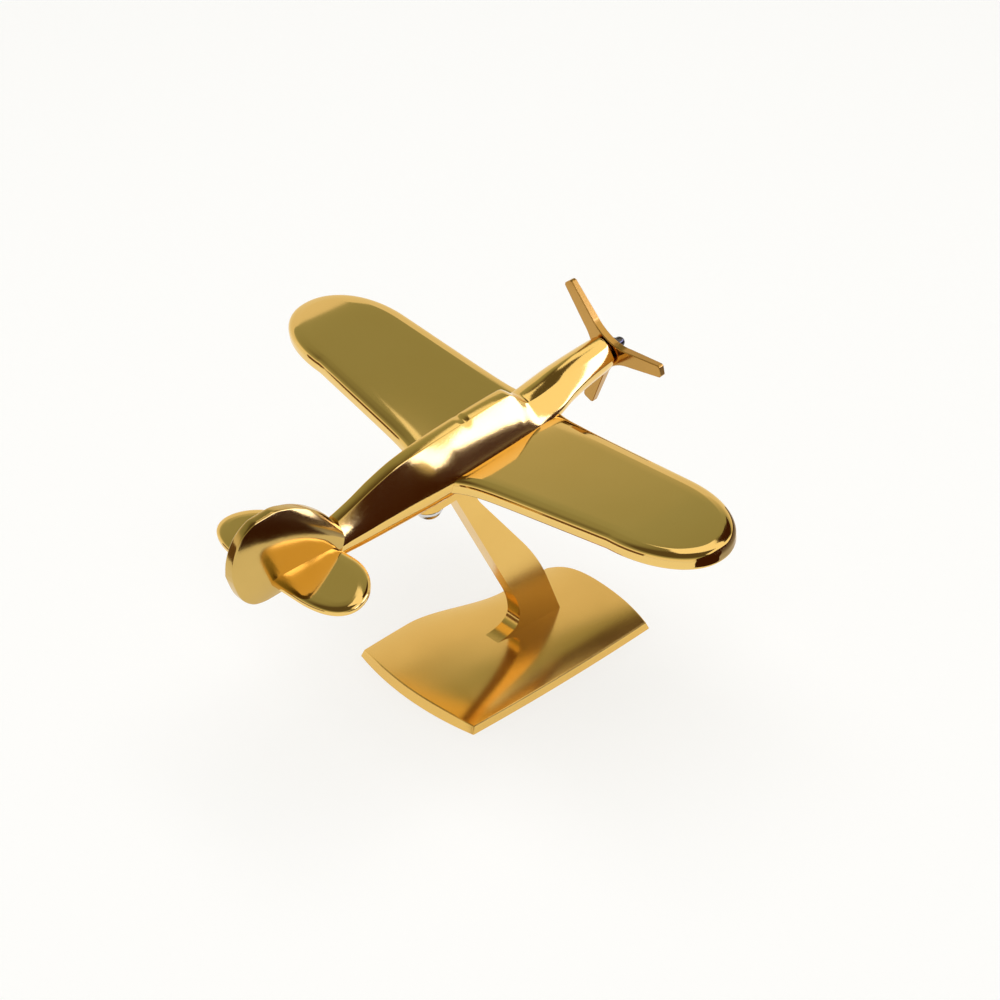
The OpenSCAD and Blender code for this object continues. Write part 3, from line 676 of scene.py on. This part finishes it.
# %% Plan and crown of the base
BASE_LEN, BASE_WID, RIM_H, CROWN_H, END_BOW, SIDE_BOW, RIM_DRAFT = 82.4, 57.8, 2.8, 2.2, 3.5, 0.9, 1.0
PORT_STEP, STEP_FROM, STEP_OVER, CORNER_BACK = 9.4, -0.5, 0.9, 3.4
CROWN_POWER, CROWN_ENDS = 3.4, 0.64
FELT_INSET, FELT_GAP, FELT_T, RECESS_H = 3.0, 0.1, 0.85, 0.9


def base_point(u, v, inset):
    """The base's plan at u, v from -1 to 1, inset from its outline."""
    step = PORT_STEP * eased((u - STEP_FROM) / STEP_OVER) if v > 0 else 0
    x = u * (BASE_LEN / 2 - inset + END_BOW * (1 - v * v)) - CORNER_BACK * max(u, 0) ** 8 * max(v, 0) ** 6
    return [x, v * (BASE_WID / 2 - inset + SIDE_BOW * (1 - u * u) - step)]


def base_crown(u, v):
    """The height of the base's top at u, v."""
    return RIM_H + CROWN_H * (1 - abs(v) ** CROWN_POWER) * (CROWN_ENDS + (1 - CROWN_ENDS) * (1 - u * u))


def border(steps_u, steps_v):
    """The places (i, j) along the edge of a grid, once round."""
    return ([(i, 0) for i in range(steps_u)] + [(steps_u, j) for j in range(steps_v)]
            + [(i, steps_v) for i in range(steps_u, 0, -1)] + [(0, j) for j in range(steps_v, 0, -1)])


print("the base's crown is", base_crown(0, 0), "mm high in the middle")

# %% Base


def base_solid():
    """Points and faces of the base: the crowned top, the rims and the underside with its recess."""
    cells_u, cells_v = 64, 48
    us, vs = np.linspace(-1, 1, cells_u + 1), np.linspace(-1, 1, cells_v + 1)
    points = [[*base_point(u, v, RIM_DRAFT), base_crown(u, v)] for u in us for v in vs]
    rows = np.arange(len(points)).reshape(len(us), len(vs)).tolist()
    faces = quads(rows)
    edge = border(cells_u, cells_v)
    last = [rows[i][j] for i, j in edge]
    recess = FELT_INSET - FELT_GAP
    for inset, height in ((0, 0), (recess, 0), (recess, RECESS_H)):
        loop = list(range(len(points), len(points) + len(edge)))
        points += [[*base_point(us[i], vs[j], inset), height] for i, j in edge]
        faces += quads([last, loop], closed=True)
        last = loop
    faces.append(tuple(last))
    return points, faces


points, faces = base_solid()
add_piece("base_casting", points, faces, plate_brass, sharp=34, bevel=0.8, replaces=["base_plate"])

# %% [markdown]
# ## The leaning arm
# A bar 6 mm thick with a curved side view, and a flange on top that carries the two screws. A bent box
# wouldn't swell at the foot, so the bar is a prism over its side view. Bar and flange are two solids,
# joined by a Boolean so that the casting is one skin, then bevelled.

# %% Side view of the arm
ARM_T, FOOT_SEAT, FLANGE_R, FLANGE_T = 6.2, 3.9, 4.6, 3.5
FLANGE_REAR, FLANGE_FRONT, FLANGE_Z = -29.3, -5.3, -13.0
BELLY_Z = FLANGE_Z + FLANGE_T
SPOT_R, SPOT_DEPTH = 4.9, 5.6


def side_point(x, z):
    """A point of the aeroplane's frame in the stand's side view."""
    p = fly([x, 0, z])
    return np.array([p[0], p[2]])


def arm_outline():
    """The arm's side view: up its back from the heel, along the flange and down its front to the toe."""
    heel, waist_back = [3.9, FOOT_SEAT + 8], [1.3, 21.6]
    waist_front, neck_front = [4.6, 43.1], [-12.4, 66.5]
    top_back = side_point(FLANGE_REAR + 8.4, FLANGE_Z + 0.5)
    top_front = side_point(FLANGE_FRONT + 2.5, FLANGE_Z + 0.5)
    path = [np.array([-9.7, FOOT_SEAT])]
    path += bend([-9.7, FOOT_SEAT + 1], [4.5, FOOT_SEAT + 0.9], heel, 24)
    path += bend(heel, [3.9, FOOT_SEAT + 12], waist_back, 16, False)
    path += [top_back, top_front]
    path += bend(top_front - [3, 0.4], [-18.2, 74.5], neck_front, 18)
    path += bend(waist_front, [12.6, 32.2], [16.4, 22.3], 24)
    return path + [np.array([20.1, 12.2]), np.array([23.2, FOOT_SEAT])]


print("points round the arm:", len(arm_outline()))

# %% Prisms, circles and Booleans


def as_plan(a, b, h):
    """A plan outline, raised to a height."""
    return [a, b, h]


def as_side_view(a, b, h):
    """A side view, moved sideways."""
    return [a, h, b]


def in_flight(a, b, h):
    """A plan outline in the aeroplane's frame."""
    return fly([a, b, h]).tolist()


def prism(outline, low, high, place=as_plan):
    """A solid between two copies of an outline. place turns (a, b, height) into a point."""
    count = len(outline)
    points = [place(a, b, h) for h in (low, high) for a, b in outline]
    faces = [tuple(range(count)), tuple(range(2 * count - 1, count - 1, -1))]
    return points, faces + quads([range(count), range(count, 2 * count)], closed=True)


def arc(radius, steps, middle, start, turn):
    """Points round part of a circle, with both ends."""
    angles = [start + turn * k / steps for k in range(steps + 1)]
    return [(middle[0] + radius * math.cos(a), middle[1] + radius * math.sin(a)) for a in angles]


def circle(radius, steps, middle=(0, 0)):
    """Points round a circle."""
    return arc(radius, steps, middle, 0, 2 * math.pi)[:-1]


def combine(target, tool, operation):
    """Joins or cuts target with tool, which is then deleted."""
    step = target.modifiers.new("combine", "BOOLEAN")
    step.operation, step.object, step.solver = operation, tool, "EXACT"
    bpy.context.view_layer.update()
    apply_all(target)
    bpy.data.objects.remove(tool)


print("corners of a hexagon:", np.round(circle(1, 6), 2).tolist())

# %% Arm, flange and spot faces
arm = bare_object("stand_arm_casting", *prism(arm_outline(), -ARM_T / 2, ARM_T / 2, as_side_view))
stadium = (arc(FLANGE_R, 24, (FLANGE_FRONT, 0), -math.pi / 2, math.pi)
           + arc(FLANGE_R, 24, (FLANGE_REAR, 0), math.pi / 2, math.pi))
combine(arm, bare_object("flange", *prism(stadium, FLANGE_Z, BELLY_Z, in_flight)), "UNION")
for place in (FLANGE_REAR, FLANGE_FRONT):
    spot_face = prism(circle(SPOT_R, 40, (place, 0)), FLANGE_Z - SPOT_DEPTH, FLANGE_Z, in_flight)
    combine(arm, bare_object("spot_face", *spot_face), "DIFFERENCE")
dress(arm, plate_brass, 34, bevel=0.45, replaces=["stand_arm"])

# %% [markdown]
# ## The propeller
# Three blades, 120 degrees apart, with a round fillet in each fork. One third of it, from the middle of a
# blade to the middle of the next, is built as a mesh. Geometry Nodes turn it to its three places, and
# `reshape` then welds the seams.

# %% Propeller third
PROP_R, PROP_Z, BLADE_ROOT, BLADE_TIP, TIP_CORNER, HUB_T, TIP_T = 26.3, 4.9, 5.8, 4.6, 0.7, 2.8, 2.2
WEB_R = 16.0
KNEE = WEB_R * 0.7
THIRD, BLADE_TURN = math.radians(120), math.radians(38)
STUD_R, BORE_GAP, NOSE_WASHER_T, PROP_GAP = 1.5, 0.05, 0.6, 0.1
PROP_BACK = NOSE_X + NOSE_WASHER_T + PROP_GAP
BORE_R = STUD_R + BORE_GAP


def flip(p):
    """A point (across, out) mirrored in the line midway between two blades."""
    axis = np.array([math.sin(THIRD / 2), math.cos(THIRD / 2)])
    return tuple(2 * np.dot(p, axis) * axis - np.array(p))


def third_outline():
    """The edge of one third of the propeller, as (across, out) from one blade's middle to the next's."""
    root, tip = BLADE_ROOT / 2, BLADE_TIP / 2
    web = (root + WEB_R) / math.sin(THIRD / 2)
    centre = (web * math.sin(THIRD / 2), web * math.cos(THIRD / 2))
    blade = [(0, PROP_R), (tip - TIP_CORNER, PROP_R), (tip, PROP_R - TIP_CORNER),
             (root, max(KNEE, centre[1]))]
    half = blade + arc(WEB_R, 16, centre, math.pi, THIRD / 2)[:9]
    return half + [flip(p) for p in half[-2::-1]]


def blade_thickness(distance):
    """The propeller's thickness at a distance from its axis."""
    share = (distance - KNEE) / (PROP_R - KNEE)
    return HUB_T + (TIP_T - HUB_T) * min(max(share, 0), 1)


print("points along a third:", len(third_outline()))

# %% Third of the propeller as a mesh


def third_mesh():
    """Points and faces of one third about the X axis: two half blades and a share of the hub."""
    outline = third_outline()
    other = np.array([math.sin(THIRD), math.cos(THIRD)])
    bore = [(BORE_R * math.sin(a), BORE_R * math.cos(a)) for a in np.linspace(THIRD, 0, 13)]
    knee = (0, outline[3][1])
    first_blade = [knee, *outline[3:0:-1], outline[0]]
    second_blade = [flip(p) for p in first_blade][::-1]
    hub = [knee, *outline[3:-3], flip(knee), *bore]
    points, faces, known = [], [], {}

    def corner(p, front):
        reach = max(p[1], float(np.dot(p, other)))
        key = (round(p[0], 5), round(p[1], 5), front)
        if key not in known:
            known[key] = len(points)
            points.append([(0.5 if front else -0.5) * blade_thickness(reach), p[0], p[1]])
        return known[key]

    for loop in (first_blade, second_blade, hub):
        faces.append([corner(p, True) for p in loop])
        faces.append([corner(p, False) for p in loop[::-1]])
    for line in (outline, bore):
        faces += [[corner(a, True), corner(b, True), corner(b, False), corner(a, False)]
                  for a, b in zip(line, line[1:])]
    return points, faces


print("points in a third:", len(third_mesh()[0]))

# %% [markdown]
# Geometry Nodes repeat a mesh: along a row for screws, washers and dowels, or round an axis for the
# blades. `Recipe` is `Finish` again for a geometry tree. The result is read back as a plain mesh, and the
# modifier is removed, because what rides on a body has to be an ordinary mesh.

# %% A recipe for geometry


class Recipe(Finish):
    """A Geometry Nodes tree with named inputs."""

    def __init__(self, name, inputs):
        self.tree = bpy.data.node_groups.new(name, "GeometryNodeTree")
        shape = ("Geometry", "Geometry")
        for title, kind, way in (*[(*row, "INPUT") for row in (shape, *inputs)], (*shape, "OUTPUT")):
            self.tree.interface.new_socket(title, in_out=way, socket_type="NodeSocket" + kind)
        self.source = self.tree.nodes.new("NodeGroupInput")
        self.sink = self.tree.nodes.new("NodeGroupOutput")

    def given(self, title):
        return Value(self, self.source.outputs[title])

    def finish(self, geometry, finish):
        """Realizes the instances, paints them and sends them out."""
        real = self.node("GeometryNodeRealizeInstances", {}, {0: geometry})
        painted = self.node("GeometryNodeSetMaterial", {}, {"Geometry": real, "Material": finish})
        self.tree.links.new(painted.socket, self.sink.inputs[0])
        return self.tree


def repeated(title, finish):
    """A tree that copies its mesh Count times, each Step further along and Turn further round X."""
    r = Recipe(title, [("Count", "Int"), ("Step", "Vector"), ("Turn", "Float")])
    line = r.node("GeometryNodeMeshLine", {"mode": "OFFSET"},
                  {"Count": r.given("Count"), "Offset": r.given("Step")})
    index = r.node("GeometryNodeInputIndex")
    angle = index * r.given("Turn")
    turned = r.node("ShaderNodeCombineXYZ", {}, {"X": angle})
    copies = r.node("GeometryNodeInstanceOnPoints", {},
                    {"Points": line, "Instance": r.given("Geometry"), "Rotation": turned})
    return r.finish(copies, finish)


def repeat(made, finish, count, step=0, turn=0.0):
    """Turns a mesh object into count copies of itself, each step millimetres further along X."""
    tree = repeated(made.name + "_row", finish)
    modifier = made.modifiers.new("row", "NODES")
    modifier.node_group = tree
    values = {"Count": count, "Step": [step * MM, 0, 0], "Turn": turn}
    for item in tree.interface.items_tree:
        if item.in_out == "INPUT" and item.name in values:
            modifier[item.identifier] = values[item.name]
    apply_all(made)


print("a mesh is repeated by", repeat.__name__)

# %% Seams, and the way to a piece's place
SEAM_WELD = 2e-6  # metres


def reshape(piece, move):
    """Welds a piece's seams, drops the walls inside them and sends every vertex through move, in mm."""
    bm = bmesh.new()
    bm.from_mesh(piece.data)
    bmesh.ops.remove_doubles(bm, verts=bm.verts, dist=SEAM_WELD)
    inner = [f for f in bm.faces if all(len(e.link_faces) > 2 for e in f.edges)]
    bmesh.ops.delete(bm, geom=inner, context="FACES")
    places = move(np.array([v.co for v in bm.verts]) / MM) * MM
    for vertex, place in zip(bm.verts, places):
        vertex.co = place
    bmesh.ops.recalc_face_normals(bm, faces=bm.faces)
    bm.to_mesh(piece.data)
    bm.free()


def onto_nose(p):
    """From the propeller's own axis to its place ahead of the nose, turned to its rest."""
    c, s = math.cos(BLADE_TURN), math.sin(BLADE_TURN)
    x = p[:, 0] + PROP_BACK + HUB_T / 2
    y = p[:, 1] * c + p[:, 2] * s
    z = -p[:, 1] * s + p[:, 2] * c + PROP_Z
    return fly(np.column_stack([x, y, z]))


print("the propeller's hub flies at", onto_nose(np.zeros((1, 3))).round(1)[0])

# %% Propeller
propeller = bare_object("propeller_casting", *third_mesh())
repeat(propeller, blade_brass, 3, turn=-THIRD)
reshape(propeller, onto_nose)
dress(propeller, blade_brass, 25, bevel=0.28, body="propeller", replaces=["propeller"])

# %% [markdown]
# ## Turned parts
# Screws, washers, dowels, studs and the dome nut are all turned on a lathe, and are made in the same way
# here: a profile of radius against height, swept round. A Screw modifier would do it too, but would be
# one more to apply before each cut. The rows of two go through the Geometry Nodes tree.

# %% Lathe


def lathe(profile, steps=40):
    """Points and faces of a solid turned about Z. A profile that starts off the axis makes a ring."""
    solid = profile[0][0] == 0
    points, faces, loops = [], [], []
    for r, h in profile:
        if r == 0:
            loops.append([len(points)])
            points.append([0, 0, h])
        else:
            loops.append(list(range(len(points), len(points) + steps)))
            points += [[x, y, h] for x, y in circle(r, steps)]
    pairs = list(zip(loops, loops[1:])) + ([] if solid else [(loops[-1], loops[0])])
    for a, b in pairs:
        for j in range(steps):
            k = (j + 1) % steps
            corners = [a[j % len(a)], a[k % len(a)], b[k % len(b)], b[j % len(b)]]
            faces.append(list(dict.fromkeys(corners)))
    return points, faces


def ring(inner, outer, start, end, chamfer):
    """Profile of a washer with broken outer edges."""
    return [(inner, start), (outer - chamfer, start), (outer, start + chamfer), (outer, end - chamfer),
            (outer - chamfer, end), (inner, end)]


def rod(radius, start, end, chamfer=0.2):
    """Profile of a plain rod with broken ends."""
    return ring(0, radius, start, end, chamfer)


def along_x(p):
    """Turns a part made about Z so that it lies along +X."""
    return np.column_stack([p[:, 2], p[:, 1], -p[:, 0]])


def along_y(p):
    """Turns a part made about Z so that it lies along +Y."""
    return np.column_stack([p[:, 0], p[:, 2], -p[:, 1]])


print("a rod has", len(rod(1, 0, 5)), "profile points and", len(lathe(rod(1, 0, 5))[1]), "faces")

# %% One way to fit a fastener


def fit(name, profile, move, node, count=1, step=0, cut=None):
    """Turns, repeats, places and dresses one kind of steel fastener."""
    made = bare_object(name, *lathe(profile))
    if cut is not None:
        combine(made, cut, "DIFFERENCE")
    if count > 1:
        repeat(made, bright_steel, count, step)
    reshape(made, move)
    dress(made, bright_steel, 30, slot="bright_steel", replaces=[node])


def from_rear(p):
    """From the plan of the rear stand screw to its place under the belly."""
    return fly(p + [FLANGE_REAR, 0, 0])


def on_axis(p):
    """From a part made about Z to the propeller's axis."""
    return fly(along_x(p) + [0, 0, PROP_Z])


print("the rear stand screw flies at", from_rear(np.zeros((1, 3))).round(1)[0])

# %% Fasteners under the belly and in the base
STAND_SCREW, HEAD_R, HEAD_H, WASHER_T, SCREW_REACH, SCREW_EASE = 2.5, 4.6, 3.6, 1.0, 12.5, 0.3
SLOT_LEN, SLOT_W, SLOT_H, HEAD_EASE = 12, 1.1, 1.2, 0.15
SCREW_PITCH = FLANGE_FRONT - FLANGE_REAR
BASE_SCREW_X, BASE_SCREW_PITCH = 8.5, 9
seat = FLANGE_Z - WASHER_T
crest = seat - HEAD_H
bulge = (HEAD_R ** 2 + HEAD_H ** 2) / (2 * HEAD_H)
dome = [(bulge * math.sin(a), crest + bulge * (1 - math.cos(a)))
        for a in np.linspace(0, math.acos((bulge - HEAD_H) / bulge), 14)]
screw = dome[:-1] + [
    (HEAD_R, seat - HEAD_EASE), (HEAD_R - HEAD_EASE, seat), (STAND_SCREW, seat),
    (STAND_SCREW, seat + SCREW_REACH - SCREW_EASE), (STAND_SCREW - SCREW_EASE, seat + SCREW_REACH),
    (0, seat + SCREW_REACH),
]
slot_plan = [(x * SLOT_LEN / 2, y * SLOT_W / 2) for x, y in ((-1, -1), (1, -1), (1, 1), (-1, 1))]
slot_cut = bare_object("slot_cut", *prism(slot_plan, crest - 1, crest + SLOT_H))
fit("stand_screw_pair", screw, from_rear, "stand_screws", 2, SCREW_PITCH, cut=slot_cut)
fit("stand_washer_pair", ring(STAND_SCREW + 0.1, HEAD_R + 0.2, seat, FLANGE_Z, 0.12), from_rear,
    "stand_washers", 2, SCREW_PITCH)
base_screw = [(0, 0.9), (2.7, 0.9), (2.8, 1.0), (1.5, 2.4), (1.5, 12.3), (1.3, 12.5), (0, 12.5)]
fit("base_screw_pair", base_screw, lambda p: p + [BASE_SCREW_X, 0, 0], "base_screws", 2, BASE_SCREW_PITCH)

# %% Dowels, studs and pins inside the castings
DOWEL_R, DOWEL_REACH, DOWEL_X, DOWEL_PITCH, DOWEL_Z = 1.5, 17, -16, 28, -WING_T / 2 + 0.6
PIN_REACH, TAIL_STUD_R, TAIL_PIN_R, TAIL_PIN_X = 7.5, 2, 0.9, -83
NUT_H, NUT_DOME, NUT_HEX_R, NUT_HEX_H = 5.6, 1.9, 2.8, 2.4
WASHER_BORE, WASHER_R, WASHER_EASE, STUD_DEPTH = 1.6, 3.2, 0.08, 11
PROP_FRONT = PROP_BACK + HUB_T
NUT_BACK = PROP_FRONT + PROP_GAP + NOSE_WASHER_T
SHOULDER, NUT_TOP = NUT_BACK + NUT_H - NUT_DOME, NUT_BACK + NUT_H
fit("wing_dowel_pair", rod(DOWEL_R, -DOWEL_REACH, DOWEL_REACH),
    lambda p: fly(along_y(p) + [DOWEL_X, 0, DOWEL_Z]), "wing_dowels", 2, DOWEL_PITCH)
fit("tail_stud_rod", rod(TAIL_STUD_R, -PIN_REACH, PIN_REACH),
    lambda p: fly(along_x(p) + [TAIL_X, 0, JOINT_Z]), "tail_stud")
fit("tailplane_pin_rod", rod(TAIL_PIN_R, -PIN_REACH, PIN_REACH, 0.1),
    lambda p: fly(along_y(p) + [TAIL_PIN_X, 0, -TAIL_DROP - TAIL_T / 2]), "tailplane_pin")
fit("propeller_stud_rod", rod(STUD_R, NOSE_X - STUD_DEPTH, SHOULDER, 0.15), on_axis, "propeller_stud")
for place, back_x in (("rear", NOSE_X), ("front", PROP_FRONT + PROP_GAP)):
    washer = ring(WASHER_BORE, WASHER_R, back_x, back_x + NOSE_WASHER_T, WASHER_EASE)
    fit(place + "_washer_ring", washer, on_axis, place + "_washer")

# %% [markdown]
# The dome nut is a turned cap on a hexagon. The hexagon's corners are eased by a cone, as on a real nut,
# so it is cut with one first and then joined to the cap.

# %% Dome nut
HEX_TOP = NUT_BACK + NUT_HEX_H
nut_cap = [(0, NUT_BACK), (NUT_DOME, NUT_BACK), (NUT_DOME, SHOULDER)]
nut_cap += [(NUT_DOME * math.cos(a), SHOULDER + NUT_DOME * math.sin(a))
            for a in np.linspace(0, math.pi / 2, 14)[1:-1]]
nut = bare_object("dome_nut_cap", *lathe([*nut_cap, (0, NUT_TOP)]))
hexagon = bare_object("hexagon", *prism(circle(NUT_HEX_R, 6), NUT_BACK, HEX_TOP))
ease_cone = [(0, NUT_BACK - 1), (NUT_HEX_R + 1, NUT_BACK - 1), (NUT_HEX_R + 1, HEX_TOP - 1.0),
             (NUT_HEX_R - 0.9, HEX_TOP + 0.2), (0, HEX_TOP + 0.2)]
combine(hexagon, bare_object("ease", *lathe(ease_cone)), "INTERSECT")
combine(nut, hexagon, "UNION")
reshape(nut, on_axis)
dress(nut, dark_steel, 30, bevel=0.08, slot="dark_steel", replaces=["dome_nut"])

# %% [markdown]
# ## Felt
# The pad sits in the recess under the base and keeps the brass from scratching a desk. It only shows from
# below, as a thin dark line, so a plain prism over the base's own outline is enough.

# %% Felt pad
PAD_STEPS = 24
ticks = np.linspace(-1, 1, PAD_STEPS + 1)
pad_edge = [base_point(ticks[i], ticks[j], FELT_INSET) for i, j in border(PAD_STEPS, PAD_STEPS)]
add_piece("felt_pad", *prism(pad_edge, 0, FELT_T), green_felt, sharp=30, bevel=0.2,
          slot="felt", replaces=["base_felt"])

# %% [markdown]
# ## The studio
# A mirror shows its surroundings, so the studio matters as much as the brass. The floor is plain and
# pale. The sky is near white at the horizon, olive higher up and dark brown overhead, and low down to
# starboard it has a dark side.

# %% Floor and sky
FLOOR_HALF, FLOOR_DROP, FLOOR_GLOW = 6000, 0.05, 0.68
# how high up, from the horizon at 0 to straight up at 1, and the colour there
SKY = [
    (0.0, (0.98, 0.97, 0.95)), (0.36, (0.92, 0.86, 0.76)), (0.50, (0.72, 0.66, 0.50)),
    (0.60, (0.36, 0.38, 0.26)), (0.74, (0.30, 0.31, 0.20)), (0.84, (0.11, 0.09, 0.05)),
]
# the dark side's direction, where it begins and is full round from there, and where it fades upwards
DARK_SIDE, DARK_EDGE, DARK_TOP = (0.44, -0.90), (0.45, 0.80), (0.28, 0.45)


def smoothstep(f, value, low, high):
    """0 below low, 1 above high and a soft step between."""
    return f.node("ShaderNodeMapRange", {"interpolation_type": "SMOOTHSTEP", "clamp": True},
                  {"Value": value, "From Min": low, "From Max": high})


def emission(f, colour):
    """Light of a plain strength."""
    return f.node("ShaderNodeEmission", {}, {"Color": colour, "Strength": 1.0})


def make_floor():
    """A pale matt floor. The camera and mirrors see some of it as plain light, so it stays even."""
    corners = [[x * FLOOR_HALF, y * FLOOR_HALF, -FLOOR_DROP] for x, y in ((-1, -1), (1, -1), (1, 1), (-1, 1))]
    floor = bare_object("floor", corners, [[0, 1, 2, 3]])
    f = Finish(bpy.data.materials.new("floor"))
    matt = f.node("ShaderNodeBsdfDiffuse", {}, {"Color": (0.95, 0.95, 0.95, 1)})
    path = f.node("ShaderNodeLightPath", output="Is Camera Ray")
    gloss = f.node("ShaderNodeLightPath", output="Is Glossy Ray")
    clear = f.node("ShaderNodeLightPath", output="Is Transmission Ray")
    share = (path + gloss + clear).clamped() * FLOOR_GLOW
    both = f.node("ShaderNodeMixShader", {}, {0: share, 1: matt, 2: emission(f, (1, 1, 1, 1))})
    f.node("ShaderNodeOutputMaterial", {}, {"Surface": both})
    floor.data.materials.append(f.owner)


def make_sky():
    """A sky whose colour follows height, with a dark patch low on its dark side."""
    world = bpy.data.worlds.new("sky")
    bpy.context.scene.world = world
    f = Finish(world)
    aim = f.node("ShaderNodeTexCoord", output="Generated")
    parts = f.node("ShaderNodeSeparateXYZ", {}, {0: aim})
    x, y, z = (Value(f, parts.socket.node.outputs[k]) for k in range(3))
    height = f.node("ShaderNodeValToRGB", {"stops": SKY}, {0: z})
    flat = (x * x + y * y + 0.0001) ** 0.5
    toward = (y * DARK_SIDE[1] + x * DARK_SIDE[0]) / flat
    dark = smoothstep(f, toward, *DARK_EDGE) * (1 - smoothstep(f, z, *DARK_TOP))
    colour = f.mix(dark, height, (0.05, 0.018, 0.006, 1))
    glow = f.node("ShaderNodeBackground", {}, {"Color": colour, "Strength": 1.0})
    f.node("ShaderNodeOutputWorld", {}, {"Surface": glow})


make_floor()
make_sky()
print("floor and sky made")

# %% [markdown]
# Cards that only the brass sees give it its bands: dark flags, most of them close by, bright and soft
# cards far off, and a pale sweep out to port. Lamps could do this too, but a card can slant and can fade
# from its foot to its top. One lamp overhead lights the floor.

# %% Cards and the lamp
DARK, SOFT, BRIGHT, DIM = (0.045, 0.014, 0.005), (1.15, 1.1, 1.0), (3.4, 3.6, 6.2), (0.16, 0.09, 0.04)
COOL, PALE, CREAM = (0.62, 0.64, 0.80), (0.92, 0.91, 0.88), (0.84, 0.78, 0.68)
# name, direction, distance, width, bottom, top, lower and upper colour, slants, sideways shift
CARDS = [
    ("dark_flag", 150, 235, 620, 0, 141, DARK, DARK, (0, 57), 0),
    ("near_flag", 180, 140, 78, 40, 152, DARK, DARK, (0, -70), -5),
    ("nose_flag", 180, 140, 66, 40, 166, DARK, DARK, (0, 40), -77),
    ("low_flag", 138, 110, 150, 36, 122, COOL, DARK, (0, 0), 0),
    ("bright_card", 134, 1500, 1900, 430, 1170, BRIGHT, BRIGHT, (364, -150), 0),
    ("soft_card", 132, 1490, 2250, 1060, 4200, SOFT, SOFT, (0, 0), 0),
    ("high_card", 65, 1500, 1750, 2150, 3600, SOFT, SOFT, (700, 0), 0),
    ("brown_flag", 73, 1400, 820, 1200, 2075, DARK, DARK, (0, 0), 0),
    ("rear_flag", -64, 500, 520, 0, 210, DIM, DIM, (0, 0), 0),
    ("pale_sweep", 35, 450, 1300, 0, 398, PALE, CREAM, (0, 0), 0),
]


def card(name, azimuth, distance, width, bottom, top, lower, upper, slant, shift):
    """An upright card that only reflections see, with a colour at its foot and one at its top.

    It stands square to a compass direction, 0 being +Y and 90 +X, and moved sideways by shift, with its
    sizes in millimetres. Its bottom and top edges rise by slant from one end to the other."""
    a = math.radians(azimuth)
    out, along = np.array([math.sin(a), math.cos(a), 0]), np.array([math.cos(a), -math.sin(a), 0])
    corners = [out * distance + along * (width * k + shift) + [0, 0, h + k * rise]
               for k, h, rise in ((-0.5, bottom, slant[0]), (0.5, bottom, slant[0]),
                                  (0.5, top, slant[1]), (-0.5, top, slant[1]))]
    made = bare_object(name, corners, [[0, 1, 2, 3]])
    f = Finish(bpy.data.materials.new(name))
    spot = f.node("ShaderNodeTexCoord", output="Object")
    height = f.node("ShaderNodeSeparateXYZ", {}, {0: spot}, output=2)
    share = smoothstep(f, height, bottom * MM, top * MM)
    glow = emission(f, f.mix(share, (*lower, 1), (*upper, 1)))
    f.node("ShaderNodeOutputMaterial", {}, {"Surface": glow})
    made.data.materials.append(f.owner)
    made.visible_camera = made.visible_diffuse = made.visible_shadow = False


def overhead(height, side, level):
    """A square soft lamp above the model, in metres, that lights the floor and isn't seen in the brass."""
    lamp = bpy.data.lights.new("overhead", "AREA")
    lamp.size, lamp.energy = side, level * math.pi * side * side
    made = bpy.data.objects.new("overhead", lamp)
    made.location = (0, 0, height)
    made.visible_glossy = made.visible_camera = False
    bpy.context.scene.collection.objects.link(made)


for row in CARDS:
    card(*row)
overhead(1.5, 1.6, 2.5)
print(len(CARDS), "cards and a lamp stand round the floor")
